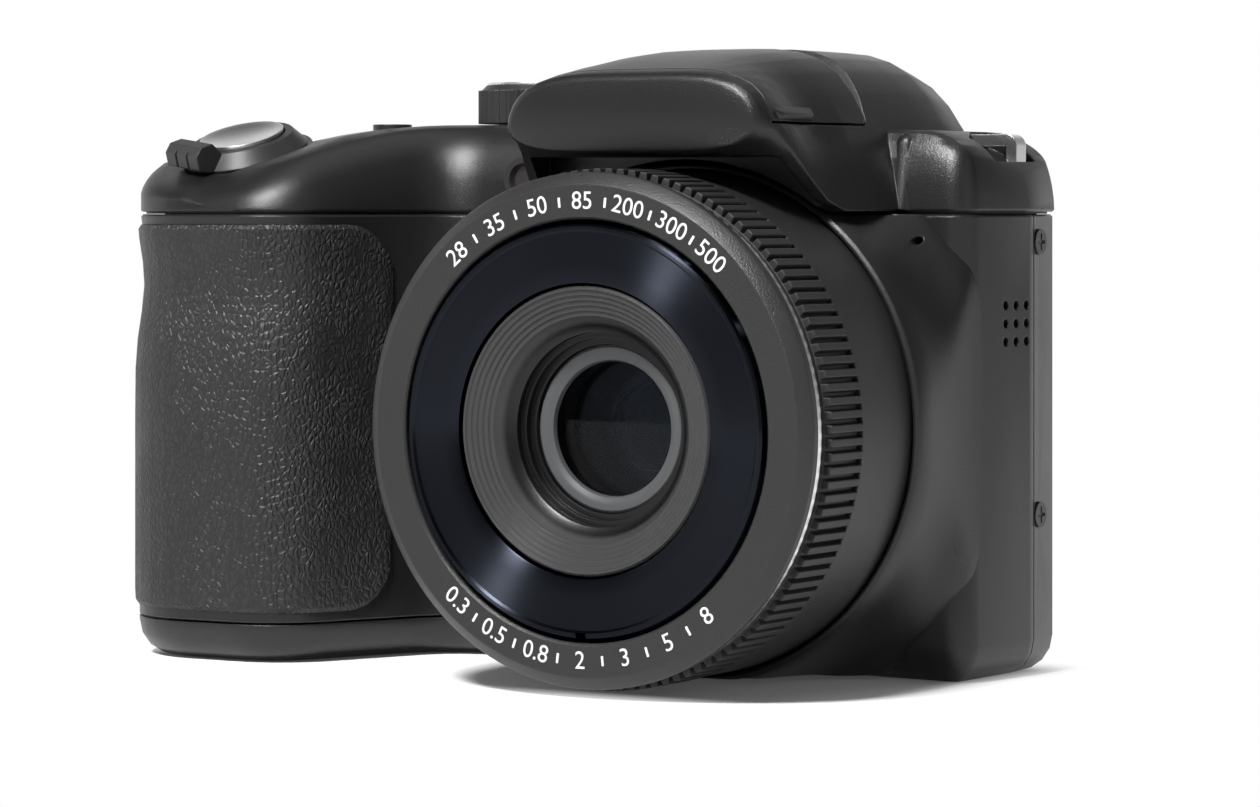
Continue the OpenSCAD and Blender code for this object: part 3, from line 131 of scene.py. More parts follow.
paint.links.new(table_seen.outputs["Is Glossy Ray"], either.inputs[1])
paint.links.new(either.outputs[0], any_way.inputs[0])
paint.links.new(table_seen.outputs["Is Transmission Ray"], any_way.inputs[1])
far_white = add(paint, "ShaderNodeMath", operation="MULTIPLY")
paint.links.new(fade.outputs["Result"], far_white.inputs[0])
paint.links.new(any_way.outputs[0], far_white.inputs[1])
table_mix = add(paint, "ShaderNodeMixShader")
paint.links.new(far_white.outputs[0], table_mix.inputs["Fac"])
paint.links.new(table_matt.outputs[0], table_mix.inputs[1])
paint.links.new(table_far.outputs[0], table_mix.inputs[2])
table_out = add(paint, "ShaderNodeOutputMaterial")
paint.links.new(table_mix.outputs[0], table_out.inputs["Surface"])
table.data.materials.append(table_paint)


def soft_lamp(name, towards, distance, size, power):
    """A square lamp of that side, far along a direction, turned to the middle of the body."""
    lamp = bpy.data.lights.new(name, "AREA")
    lamp.shape = "SQUARE"
    lamp.size = size
    lamp.energy = power
    stand = bpy.data.objects.new(name, lamp)
    bpy.context.scene.collection.objects.link(stand)
    aim = Vector(towards).normalized()
    stand.location = Vector((-0.02, -0.01, 0.04)) + aim * distance
    stand.rotation_euler = aim.to_track_quat("Z", "Y").to_euler()
    return stand


soft_lamp("key_lamp", (0.0, -0.65, 0.75), 1.3, 0.2, 26.0)
soft_lamp("top_panel", (0.1, 0.25, 1.0), 1.5, 1.3, 3.2)
soft_lamp("left_panel", (-1.0, -0.25, 0.35), 1.6, 0.9, 2.6)
soft_lamp("right_panel", (1.0, -0.25, 0.35), 1.6, 0.9, 1.3)

eye = bpy.data.cameras.new("photo_camera")
eye.lens = 4500 * 36 / 1260
eye.sensor_width = 36
eye.shift_y = -190.5 / 1260
eye.clip_start = 0.01
eye.clip_end = 50
eye_stand = bpy.data.objects.new("photo_camera", eye)
bpy.context.scene.collection.objects.link(eye_stand)
eye_stand.location = (0.2805, -0.5055, 0.0578)
eye_stand.rotation_euler = (math.pi / 2, 0, math.radians(31.06))
bpy.context.scene.camera = eye_stand
bpy.context.scene.view_settings.view_transform = "Standard"

# Covers: front, rear and top shell, battery door and flash lid, injection moulded in
# black plastic from a spark-eroded tool, so every face has a fine even grain that glitters.
shading = bpy.data.node_groups.new("moulded_faces", "GeometryNodeTree")
shading.interface.new_socket("Geometry", in_out="INPUT", socket_type="NodeSocketGeometry")
shading.interface.new_socket("Crease", in_out="INPUT", socket_type="NodeSocketFloat")
shading.interface.new_socket("Geometry", in_out="OUTPUT", socket_type="NodeSocketGeometry")
go_in = shading.nodes.new("NodeGroupInput")
go_out = shading.nodes.new("NodeGroupOutput")
close = shading.nodes.new("GeometryNodeMergeByDistance")
close.inputs["Distance"].default_value = 0.000002
bare = shading.nodes.new("GeometryNodeRemoveAttribute")
bare.inputs["Name"].default_value = "custom_normal"
all_smooth = shading.nodes.new("GeometryNodeSetShadeSmooth")
all_smooth.domain = "FACE"
crease = shading.nodes.new("GeometryNodeSetShadeSmooth")
crease.domain = "EDGE"
fold = shading.nodes.new("GeometryNodeInputMeshEdgeAngle")
gentle = shading.nodes.new("FunctionNodeCompare")
gentle.data_type = "FLOAT"
gentle.operation = "LESS_THAN"
shading.links.new(go_in.outputs["Geometry"], close.inputs["Geometry"])
shading.links.new(close.outputs["Geometry"], bare.inputs["Geometry"])
shading.links.new(bare.outputs["Geometry"], all_smooth.inputs["Geometry"])
shading.links.new(all_smooth.outputs["Geometry"], crease.inputs["Geometry"])
shading.links.new(fold.outputs["Unsigned Angle"], gentle.inputs["A"])
shading.links.new(go_in.outputs["Crease"], gentle.inputs["B"])
shading.links.new(gentle.outputs["Result"], crease.inputs["Shade Smooth"])
shading.links.new(crease.outputs["Geometry"], go_out.inputs["Geometry"])


def dress(names, material, crease_deg=30):
    """Gives CAD nodes their finish, with faces that meet at less than the crease angle shaded as one."""
    for n in names.split():
        o = nodes[n]
        if not o.material_slots:
            o.data.materials.append(material)
        for held in o.material_slots:
            held.material = material
        m = o.modifiers.new("moulded_faces", "NODES")
        m.node_group = shading
        m[shading.interface.items_tree["Crease"].identifier] = math.radians(crease_deg)


grain = bpy.data.node_groups.new("mould_grain", "ShaderNodeTree")
for name, value in (("Grain per metre", 5200.0), ("Grain depth", 0.00002), ("Edge radius", 0.0003)):
    grain.interface.new_socket(name, in_out="INPUT", socket_type="NodeSocketFloat").default_value = value
grain.interface.new_socket("Normal", in_out="OUTPUT", socket_type="NodeSocketVector")
for name in ("Speckle", "Edge", "Cloud"):
    grain.interface.new_socket(name, in_out="OUTPUT", socket_type="NodeSocketFloat")
g_in = grain.nodes.new("NodeGroupInput")
g_out = grain.nodes.new("NodeGroupOutput")
g_place = add(grain, "ShaderNodeTexCoord")
g_fine = add(grain, "ShaderNodeTexNoise", Detail=2.0, Roughness=0.6)
g_cloud = add(grain, "ShaderNodeTexNoise", Scale=55.0, Detail=3.0)
g_round = add(grain, "ShaderNodeBevel", samples=6)
g_bump = add(grain, "ShaderNodeBump", Strength=1.0)
g_face = add(grain, "ShaderNodeNewGeometry")
g_dot = add(grain, "ShaderNodeVectorMath", operation="DOT_PRODUCT")
# Edge: where the rounded normal turns from the face; the finishes paint these edges paler as a painted edge
# highlight.
g_edge_highlight = add(grain, "ShaderNodeMapRange", From_Min=0.995, From_Max=0.80)
grain.links.new(g_place.outputs["Object"], g_fine.inputs["Vector"])
grain.links.new(g_place.outputs["Object"], g_cloud.inputs["Vector"])
grain.links.new(g_in.outputs["Grain per metre"], g_fine.inputs["Scale"])
grain.links.new(g_in.outputs["Edge radius"], g_round.inputs["Radius"])
grain.links.new(g_in.outputs["Grain depth"], g_bump.inputs["Distance"])
grain.links.new(g_fine.outputs["Fac"], g_bump.inputs["Height"])
grain.links.new(g_round.outputs["Normal"], g_bump.inputs["Normal"])
grain.links.new(g_round.outputs["Normal"], g_dot.inputs[0])
grain.links.new(g_face.outputs["Normal"], g_dot.inputs[1])
grain.links.new(g_dot.outputs["Value"], g_edge_highlight.inputs["Value"])
grain.links.new(g_bump.outputs["Normal"], g_out.inputs["Normal"])
grain.links.new(g_fine.outputs["Fac"], g_out.inputs["Speckle"])
grain.links.new(g_edge_highlight.outputs["Result"], g_out.inputs["Edge"])
grain.links.new(g_cloud.outputs["Fac"], g_out.inputs["Cloud"])


def moulded(name, dark, light, rough_low, rough_high, per_metre=5200.0, depth=0.00002, edge=0.0003,
            metallic=0.0, specular=0.5):
    """A grained finish: two tones mixed by the grain, painted paler on its rounded edges as a painted edge
    highlight, roughness in patches.
    """
    made = bpy.data.materials.new(name)
    made.use_nodes = True
    t = made.node_tree
    skin = t.nodes["Principled BSDF"]
    skin.inputs["Metallic"].default_value = metallic
    skin.inputs["Specular IOR Level"].default_value = specular
    g = add(t, "ShaderNodeGroup", node_tree=grain)
    g.inputs["Grain per metre"].default_value = per_metre
    g.inputs["Grain depth"].default_value = depth
    g.inputs["Edge radius"].default_value = edge
    tone = add(t, "ShaderNodeMix", data_type="RGBA")
    tone.inputs[6].default_value = (*dark, 1)
    tone.inputs[7].default_value = (*light, 1)
    # The tone is mixed by the grain speckle and, on rounded edges, painted paler as a painted edge highlight.
    grain_and_edge_highlight = add(t, "ShaderNodeMath", operation="MULTIPLY_ADD")
    grain_and_edge_highlight.inputs[1].default_value = 0.45
    t.links.new(g.outputs["Speckle"], grain_and_edge_highlight.inputs[0])
    t.links.new(g.outputs["Edge"], grain_and_edge_highlight.inputs[2])
    t.links.new(grain_and_edge_highlight.outputs[0], tone.inputs["Factor"])
    t.links.new(tone.outputs[2], skin.inputs["Base Color"])
    rough = add(t, "ShaderNodeMapRange", From_Min=0.3, From_Max=0.7, To_Min=rough_low, To_Max=rough_high)
    t.links.new(g.outputs["Cloud"], rough.inputs["Value"])
    t.links.new(rough.outputs["Result"], skin.inputs["Roughness"])
    t.links.new(g.outputs["Normal"], skin.inputs["Normal"])
    return made


shell_black = moulded("shell_black", (0.008, 0.008, 0.0083), (0.016, 0.016, 0.0164), 0.32, 0.37,
                      5200.0, 0.000045)
dress("front_cover rear_cover top_cover battery_door flash_lid", shell_black)

# Lens collar: the front cover's flare round the root of the tube, a smooth cone that runs out into
# the front wall and, on the plain end, flush into the side. Same grained black as the covers.
def lay(o, right, up, spot):
    """Turns a flat mark so that its right and up point those ways, on a spot of a surface."""
    x = Vector(right).normalized()
    y = Vector(up).normalized()
    turned = Matrix((x, y, x.cross(y))).transposed().to_4x4()
    turned.translation = spot
    o.matrix_world = turned
    bpy.ops.object.select_all(action="DESELECT")
    o.select_set(True)
    bpy.context.view_layer.objects.active = o
    bpy.ops.object.transform_apply(location=True, rotation=True, scale=True)
    return o


def drilled(piece, name, radius, depth, spot, tilt, sides):
    """Drills a round hole in a piece and leaves the piece selected."""
    bpy.ops.object.select_all(action="DESELECT")
    bpy.ops.mesh.primitive_cylinder_add(vertices=sides, radius=radius, depth=depth, location=spot,
                                        rotation=(tilt, 0, 0))
    drill = bpy.context.object
    hole = piece.modifiers.new(name, "BOOLEAN")
    hole.operation = "DIFFERENCE"
    hole.object = drill
    hole.solver = "EXACT"
    bpy.context.view_layer.objects.active = piece
    bpy.ops.object.modifier_apply(modifier=name)
    bpy.data.objects.remove(drill)
    bpy.ops.object.select_all(action="DESELECT")
    piece.select_set(True)


lens_axis = Vector((0, 0, 0.0319))
collar_profile = ((31.40, 24.0), (31.40, 26.10), (31.75, 26.15), (32.2, 25.9), (32.5, 25.2), (32.75, 22.5),
                  (33.1, 19.8), (33.7, 17.4), (34.5, 15.7), (35.6, 14.4), (36.8, 12.7), (37.2, 11.5),
                  (37.2, 10.2), (37.0, 9.0), (36.4, 8.0), (35.0, 7.0), (33.4, 4.0), (31.4, 4.0), (31.4, 24.0))
bpy.ops.object.select_all(action="DESELECT")
bpy.ops.mesh.primitive_circle_add(vertices=168, radius=collar_profile[0][0] / 1000, fill_type="NOTHING",
                                  location=(0, 0, collar_profile[0][1] / 1000))
bpy.ops.object.transform_apply(location=True)
collar = bpy.context.object
bpy.ops.object.mode_set(mode="EDIT")
bpy.ops.mesh.select_all(action="SELECT")
for (r0, d0), (r1, d1) in zip(collar_profile, collar_profile[1:]):
    bpy.ops.mesh.extrude_edges_move(TRANSFORM_OT_translate={"value": (0, 0, (d1 - d0) / 1000)})
    bpy.ops.transform.resize(value=(r1 / r0, r1 / r0, 1), center_override=(0, 0, 0))
bpy.ops.mesh.select_all(action="SELECT")
bpy.ops.mesh.remove_doubles(threshold=0.000001)
bpy.ops.mesh.normals_make_consistent(inside=False)
bpy.ops.object.mode_set(mode="OBJECT")
lay(collar, (1, 0, 0), (0, 0, 1), lens_axis)
bpy.ops.object.mode_set(mode="EDIT")
bpy.ops.mesh.select_all(action="SELECT")
deck_seam_z = 0.05755
base_z = 0.0007
bpy.ops.mesh.bisect(plane_co=(0, 0, deck_seam_z), plane_no=(0, 0, 1), use_fill=True, clear_outer=True)
bpy.ops.mesh.select_all(action="SELECT")
bpy.ops.mesh.bisect(plane_co=(0, 0, base_z), plane_no=(0, 0, -1), use_fill=True, clear_outer=True)
# The right flank follows the side wall, which draws in towards the front, then swings out to the tube.
side_x = 0.03355
side_draft = 0.1365
swing_start = 0.008
swing = 9.5
blend = 0.0005
shape = bmesh.from_edit_mesh(collar.data)
for v in shape.verts:
    if v.co.x > 0.0295:
        forward = -v.co.y
        wall_x = side_x - side_draft * forward + swing * max(0.0, forward - swing_start) ** 2
        room_left = (wall_x - v.co.x) / blend
        v.co.x = wall_x - blend * (room_left if room_left > 20 else math.log(1 + math.exp(room_left)))
bmesh.update_edit_mesh(collar.data)
bpy.ops.object.mode_set(mode="OBJECT")
drilled(collar, "microphone_hole", 0.00055, 0.02, (0.0264, -0.015, 0.0544), math.pi / 2, 24)
bpy.ops.object.shade_smooth_by_angle(angle=math.radians(35))
collar.name = collar.data.name = "lens_collar"
collar.data.materials.append(shell_black)
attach(collar, "camera")

# Deck shoulder: the top cover's full corner over the grip, which stands up from the seam and rounds
# over under the zoom lever. Same grained black as the covers.
bpy.ops.object.select_all(action="DESELECT")
bpy.ops.mesh.primitive_plane_add(size=1)
shoulder = bpy.context.object
bpy.ops.object.mode_set(mode="EDIT")
shoulder_foot = 0.05805
shape = bmesh.from_edit_mesh(shoulder.data)
for v in shape.verts:
    v.co = (-0.08313 if v.co.x < 0 else -0.0605, -0.0368 if v.co.y < 0 else -0.0065, shoulder_foot)
for v in shape.verts:
    v.select_set(v.co.x < -0.07 and v.co.y < -0.03)
shape.select_flush_mode()
bmesh.update_edit_mesh(shoulder.data)
bpy.ops.mesh.bevel(offset=0.014, segments=14, affect="VERTICES")
bpy.ops.mesh.select_all(action="SELECT")
bpy.ops.mesh.extrude_region_move(TRANSFORM_OT_translate={"value": (0, 0, 0.0026)})
rounding = ((0.0002, 0.0006), (0.00035, 0.0006), (0.0005, 0.0005), (0.0008, 0.0004), (0.0012, 0.0002))
for step_in, step_up in rounding:
    bpy.ops.mesh.inset(thickness=step_in, depth=step_up)
bpy.ops.mesh.select_all(action="SELECT")
bpy.ops.mesh.normals_make_consistent(inside=False)
for y in (-34, -31, -28, -25, -22, -19, -15, -11):
    bpy.ops.mesh.select_all(action="SELECT")
    bpy.ops.mesh.bisect(plane_co=(0, y / 1000, 0), plane_no=(0, 1, 0))
for x in (-72, -70, -68, -65):
    bpy.ops.mesh.select_all(action="SELECT")
    bpy.ops.mesh.bisect(plane_co=(x / 1000, 0, 0), plane_no=(1, 0, 0))
shape = bmesh.from_edit_mesh(shoulder.data)
for v in shape.verts:
    y = v.co.y * 1000
    lean = min(0.073 * (y + 30), 0.38)
    if y > -21:
        lean -= 0.045 * (y + 21)
    if v.co.x > -0.07:
        lean -= 55 * (v.co.x + 0.07)
    v.co.z = shoulder_foot + (v.co.z - shoulder_foot) * (1 + lean)
bmesh.update_edit_mesh(shoulder.data)
bpy.ops.object.mode_set(mode="OBJECT")
drilled(shoulder, "shutter_well", 0.0074, 0.03, (-0.07, -0.0209, 0.062), math.radians(19), 64)
bpy.ops.object.shade_smooth_by_angle(angle=math.radians(40))
shoulder.name = shoulder.data.name = "deck_shoulder"
shoulder.data.materials.append(shell_black)
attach(shoulder, "camera")

# Grip: a skin of black rubber glued round the front of the grip, pressed with a leather grain of
# irregular pebbles about a millimetre across, drawn out upwards.
rubber = bpy.data.materials.new("grip_rubber")
rubber.use_nodes = True
rt = rubber.node_tree
rubber_skin = rt.nodes["Principled BSDF"]
r_place = add(rt, "ShaderNodeTexCoord")
r_bend = add(rt, "ShaderNodeTexNoise", Scale=420.0, Detail=2.0)
r_shift = add(rt, "ShaderNodeVectorMath", operation="SCALE")
r_shift.inputs["Scale"].default_value = 0.0011
r_moved = add(rt, "ShaderNodeVectorMath", operation="ADD")
r_long = add(rt, "ShaderNodeVectorMath", operation="MULTIPLY")
r_long.inputs[1].default_value = (1, 1, 0.62)
r_cells = add(rt, "ShaderNodeTexVoronoi", feature="DISTANCE_TO_EDGE", Scale=1450.0)
r_pebble = add(rt, "ShaderNodeMapRange", interpolation_type="SMOOTHSTEP", From_Min=0.0, From_Max=0.3)
r_patch = add(rt, "ShaderNodeTexNoise", Scale=130.0, Detail=2.0)
r_deep = add(rt, "ShaderNodeMapRange", From_Min=0.35, From_Max=0.6, To_Min=0.45, To_Max=1.0)
r_height = add(rt, "ShaderNodeMath", operation="MULTIPLY")
r_fine = add(rt, "ShaderNodeTexNoise", Scale=5000.0, Detail=1.0)
r_sum = add(rt, "ShaderNodeMath", operation="MULTIPLY_ADD")
r_sum.inputs[1].default_value = 0.12
r_round = add(rt, "ShaderNodeBevel", samples=4, Radius=0.0002)
r_bump = add(rt, "ShaderNodeBump", Strength=1.0, Distance=0.00013)
rt.links.new(r_place.outputs["Object"], r_bend.inputs["Vector"])
rt.links.new(r_bend.outputs["Color"], r_shift.inputs[0])
rt.links.new(r_place.outputs["Object"], r_moved.inputs[0])
rt.links.new(r_shift.outputs[0], r_moved.inputs[1])
rt.links.new(r_moved.outputs[0], r_long.inputs[0])
rt.links.new(r_long.outputs[0], r_cells.inputs["Vector"])
rt.links.new(r_cells.outputs["Distance"], r_pebble.inputs["Value"])
rt.links.new(r_place.outputs["Object"], r_patch.inputs["Vector"])
rt.links.new(r_patch.outputs["Fac"], r_deep.inputs["Value"])
rt.links.new(r_pebble.outputs["Result"], r_height.inputs[0])
rt.links.new(r_deep.outputs["Result"], r_height.inputs[1])
rt.links.new(r_place.outputs["Object"], r_fine.inputs["Vector"])
rt.links.new(r_fine.outputs["Fac"], r_sum.inputs[0])
rt.links.new(r_height.outputs[0], r_sum.inputs[2])
rt.links.new(r_sum.outputs[0], r_bump.inputs["Height"])
rt.links.new(r_round.outputs["Normal"], r_bump.inputs["Normal"])
rt.links.new(r_bump.outputs["Normal"], rubber_skin.inputs["Normal"])
# Painted shade: the grooves between the pebbles are painted darker than the pebble tops.
r_groove_shade = add(rt, "ShaderNodeMix", data_type="RGBA")
r_groove_shade.inputs[6].default_value = (0.013, 0.013, 0.0134, 1)
r_groove_shade.inputs[7].default_value = (0.021, 0.021, 0.0215, 1)
rt.links.new(r_pebble.outputs["Result"], r_groove_shade.inputs["Factor"])
rt.links.new(r_groove_shade.outputs[2], rubber_skin.inputs["Base Color"])
r_gloss = add(rt, "ShaderNodeMapRange", From_Min=0.3, From_Max=0.7, To_Min=0.42, To_Max=0.54)
rt.links.new(r_patch.outputs["Fac"], r_gloss.inputs["Value"])
rt.links.new(r_gloss.outputs["Result"], rubber_skin.inputs["Roughness"])
dress("grip_rubber", rubber)

# Lens tube, ribbed ring and front bezel: moulded in the same black, the tube almost plain,
# the bezel with a dull even grain.
tube_black = moulded("tube_black", (0.016, 0.016, 0.0165), (0.026, 0.026, 0.027), 0.44, 0.5, 5000.0, 0.00002)
dress("lens_housing", tube_black)
rib_black = moulded("rib_black", (0.015, 0.015, 0.0155), (0.03, 0.03, 0.031), 0.5, 0.6, 6000.0, 0.000014)
dress("ribbed_ring", rib_black)
bezel_black = moulded("bezel_black", (0.018, 0.018, 0.0185), (0.028, 0.028, 0.029), 0.37, 0.43, 4600.0, 0.000055)
dress("lens_bezel", bezel_black)

# Trim ring: a thin bright band between the bezel and the ribs, turned from aluminium and polished,
# pushed on from the front before the bezel goes on.
trim_bright = moulded("trim_bright", (0.80, 0.80, 0.81), (0.9, 0.9, 0.91), 0.22, 0.3, 4000.0, 0.000002, 0.0001, 1.0)
dress("trim_ring", trim_bright)

# Zoom barrel: turned ring with circular tool marks under a glossy blue-black coat, so the
# light draws two opposite streaks on it.
def off_axis(tree):
    """The way out from the lens axis, and how far out, for each spot of a piece."""
    place = add(tree, "ShaderNodeTexCoord")
    from_axis = add(tree, "ShaderNodeVectorMath", operation="SUBTRACT")
    from_axis.inputs[1].default_value = lens_axis
    flat = add(tree, "ShaderNodeVectorMath", operation="MULTIPLY")
    flat.inputs[1].default_value = (1, 0, 1)
    far = add(tree, "ShaderNodeVectorMath", operation="LENGTH")
    tree.links.new(place.outputs["Object"], from_axis.inputs[0])
    tree.links.new(from_axis.outputs[0], flat.inputs[0])
    tree.links.new(flat.outputs[0], far.inputs[0])
    return flat.outputs[0], far.outputs["Value"]


ring_coat = bpy.data.materials.new("turned_ring")
ring_coat.use_nodes = True
tt = ring_coat.node_tree
ring_skin = tt.nodes["Principled BSDF"]
ring_skin.inputs["Base Color"].default_value = (0.023, 0.026, 0.034, 1)
ring_skin.inputs["Metallic"].default_value = 1.0
ring_skin.inputs["Anisotropic"].default_value = 1.0
t_way, t_far = off_axis(tt)
t_unit = add(tt, "ShaderNodeVectorMath", operation="NORMALIZE")
tt.links.new(t_way, t_unit.inputs[0])
tt.links.new(t_unit.outputs[0], ring_skin.inputs["Tangent"])
t_marks = add(tt, "ShaderNodeTexNoise", noise_dimensions="1D", Scale=9000.0, Detail=2.0)
tt.links.new(t_far, t_marks.inputs["W"])
t_gloss = add(tt, "ShaderNodeMapRange", From_Min=0.3, From_Max=0.7, To_Min=0.31, To_Max=0.36)
tt.links.new(t_marks.outputs["Fac"], t_gloss.inputs["Value"])
tt.links.new(t_gloss.outputs["Result"], ring_skin.inputs["Roughness"])
dress("zoom_barrel", ring_coat)

# Inner barrel and retaining ring: the barrel's face is a stepped baffle in dull black, painted near black
# inside its bore as painted shade for its depth, and a plain grey ring screwed into it holds the front glass.
baffle_black = moulded("baffle_black", (0.03, 0.03, 0.031), (0.055, 0.055, 0.057), 0.34, 0.42,
                       5000.0, 0.00002, 0.0001)
bt = baffle_black.node_tree
b_skin = bt.nodes["Principled BSDF"]
b_tone = b_skin.inputs["Base Color"].links[0].from_socket
_, b_far = off_axis(bt)
# Painted shade: inside the bore's radius the tone goes near black.
b_bore_shade = add(bt, "ShaderNodeMapRange", From_Min=0.0126, From_Max=0.0131)
b_painted_bore_shade = add(bt, "ShaderNodeMix", data_type="RGBA")
b_painted_bore_shade.inputs[6].default_value = (0.002, 0.002, 0.002, 1)
bt.links.new(b_far, b_bore_shade.inputs["Value"])
bt.links.new(b_bore_shade.outputs["Result"], b_painted_bore_shade.inputs["Factor"])
bt.links.new(b_tone, b_painted_bore_shade.inputs[7])
bt.links.new(b_painted_bore_shade.outputs[2], b_skin.inputs["Base Color"])
dress("inner_barrel", baffle_black, 20)
ring_grey = moulded("ring_grey", (0.06, 0.062, 0.066), (0.1, 0.102, 0.107), 0.34, 0.42, 5000.0, 0.000006, 0.00015)
dress("retaining_ring", ring_grey)


# Glass: three coated elements, the front one held by the ring, the others in the barrel and at the
# sensor. The coating takes most of the mirror image away and leaves a blue tint.
def clear(name, tint, index, rough):
    """Clear glass or plastic."""
    made = bpy.data.materials.new(name)
    made.use_nodes = True
    skin = made.node_tree.nodes["Principled BSDF"]
    skin.inputs["Base Color"].default_value = (*tint, 1)
    skin.inputs["Transmission Weight"].default_value = 1.0
    skin.inputs["IOR"].default_value = index
    skin.inputs["Roughness"].default_value = rough
    return made


coated_glass = clear("coated_glass", (0.6, 0.66, 0.75), 1.2, 0.0)
dress("front_glass middle_glass rear_glass", coated_glass)

# Inside of the lens and grip: guide tube, iris, battery box and speaker, moulded in dead black so that
# no stray light comes back out of them.
inner_black = moulded("inner_black", (0.003, 0.003, 0.0032), (0.005, 0.005, 0.0052), 0.6, 0.75, 4000.0, 0.000001)
dress("guide_tube iris_unit battery_box speaker", inner_black)

# Buttons, lever and dial: small mouldings in black with a finer grain than the covers, each on its own
# spring or click plate. The latch and the port cover are of the same plastic.
button_black = moulded("button_black", (0.016, 0.016, 0.0165), (0.034, 0.034, 0.035), 0.4, 0.48,
                       6000.0, 0.000012, 0.00025)
dress("zoom_lever burst_button mode_dial nav_ring ok_button menu_button play_button delete_button info_button "
      "battery_latch port_cover", button_black)

# Focus lamp: a glossy cap of dark red-brown plastic beside the lens, pushed in from behind. It lights
# up when the camera focuses in the dark.
lamp_dark = moulded("lamp_dark", (0.02, 0.018, 0.018), (0.04, 0.036, 0.036), 0.15, 0.25, 3000.0, 0.000002, 0.0002)
dress("focus_lamp", lamp_dark)

# Bright metal: shutter and power button, dial cap and strap lugs, pressed or cast and plated to a
# satin sheen. The flash reflector is a trough of bright sheet.
bright = moulded("satin_bright", (0.84, 0.84, 0.85), (0.92, 0.92, 0.93), 0.24, 0.34, 5000.0, 0.000003, 0.0002, 1.0)
dress("shutter_button power_button dial_cap strap_lugs flash_reflector", bright)

# Record button: a small cap in red plastic at the back, on the same kind of spring as its neighbours,
# polished a little more by the thumb.
record_red = moulded("record_red", (0.3, 0.02, 0.018), (0.4, 0.04, 0.035), 0.3, 0.4, 5000.0, 0.000006, 0.0002)
dress("record_button", record_red)

# Steel and brass: drawn pins, stamped contacts and shields in plain steel, blackened cross-head screws
# and a turned brass socket for the tripod screw.
steel = moulded("plain_steel", (0.42, 0.42, 0.43), (0.56, 0.56, 0.57), 0.3, 0.42, 4000.0, 0.000004, 0.0001, 1.0)
dress("battery_pin battery_contacts flash_pin usb_port microphone zoom_motor", steel)
screw_black = moulded("screw_black", (0.05, 0.05, 0.052), (0.16, 0.16, 0.165), 0.32, 0.42,
                      5000.0, 0.000006, 0.0001, 0.8)
dress("cover_screws", screw_black)
brass = moulded("turned_brass", (0.55, 0.4, 0.17), (0.68, 0.52, 0.25), 0.28, 0.4, 4000.0, 0.000005, 0.0001, 1.0)
dress("tripod_socket", brass)

# Chassis, cells, board and sensor: a pressed plate that carries the lens and the board, four steel
# cells, a green lacquered board, and the sensor under its blue cover glass.
plate = moulded("pressed_plate", (0.38, 0.39, 0.4), (0.5, 0.51, 0.52), 0.36, 0.46, 2500.0, 0.000006, 0.0002, 1.0)
dress("chassis battery_cells", plate)
board_green = moulded("board_green", (0.012, 0.075, 0.03), (0.02, 0.12, 0.05), 0.35, 0.45,
                      3000.0, 0.000004, 0.0001)
dress("main_board", board_green)
sensor_blue = moulded("sensor_blue", (0.03, 0.05, 0.08), (0.06, 0.08, 0.12), 0.15, 0.2, 4000.0, 0.000001, 0.0001)
dress("image_sensor", sensor_blue)

# Screen: a dark panel behind a glossy coated window, glued into the frame of the rear cover.
# Switched off, it is almost black.
screen_glass = moulded("screen_black", (0.003, 0.003, 0.0035), (0.005, 0.005, 0.0055), 0.05, 0.08,
                       3000.0, 0.0000002, 0.0002, specular=0.2)
dress("screen_window screen_panel", screen_glass)

# Flash: a clear window snapped into the front of the lid, with the glass tube behind it in its
# reflector. Both are polished.
flash_clear = clear("flash_clear", (0.95, 0.96, 0.97), 1.45, 0.05)
dress("flash_window flash_tube", flash_clear)

# Scale on the front bezel: plain numbers and ticks in white ink, put on with a pad in two arcs,
# the upper one read from outside and the lower one from inside.
printed_white = moulded("printed_white", (0.66, 0.66, 0.66), (0.8, 0.8, 0.8), 0.5, 0.62, 9000.0, 0.000004, 0.00001)


def lettering(words, tall):
    """Printed characters lying flat, their middle at the origin, as a thin film of ink."""
    bpy.ops.object.select_all(action="DESELECT")
    bpy.ops.object.text_add()
    o = bpy.context.object
    o.data.body = words
    o.data.size = tall / 0.7
    o.data.align_x = "CENTER"
    o.data.align_y = "CENTER"
    o.data.extrude = 0.00003
    o.data.resolution_u = 5
    bpy.ops.object.convert(target="MESH")
    return bpy.context.object


def flat_mark(corners, radius, wide=1.0, hole=0.0, turn=0.0, soft=0.0):
    """A flat printed shape: a regular outline stretched to a width, with a hole or rounded corners."""
    bpy.ops.object.select_all(action="DESELECT")
    bpy.ops.mesh.primitive_circle_add(vertices=corners, radius=radius, fill_type="NGON")
    o = bpy.context.object
    bpy.ops.object.mode_set(mode="EDIT")
    bpy.ops.mesh.select_all(action="SELECT")
    bpy.ops.transform.rotate(value=turn, orient_axis="Z", center_override=(0, 0, 0))
    bpy.ops.transform.resize(value=(wide, 1, 1), center_override=(0, 0, 0))
    if hole:
        bpy.ops.mesh.inset(thickness=radius - hole)
        bpy.ops.mesh.delete(type="FACE")
        bpy.ops.mesh.select_all(action="SELECT")
    if soft:
        bpy.ops.mesh.bevel(offset=soft, segments=3, affect="VERTICES")
        bpy.ops.mesh.select_all(action="SELECT")
    bpy.ops.mesh.extrude_region_move(TRANSFORM_OT_translate={"value": (0, 0, 0.00003)})
    bpy.ops.mesh.select_all(action="SELECT")
    bpy.ops.mesh.normals_make_consistent(inside=False)
    bpy.ops.object.mode_set(mode="OBJECT")
    return o


def bar(wide, tall):
    """A printed bar with rounded ends."""
    return flat_mark(4, tall / math.sqrt(2), wide / tall, turn=math.pi / 4, soft=wide * 0.3)


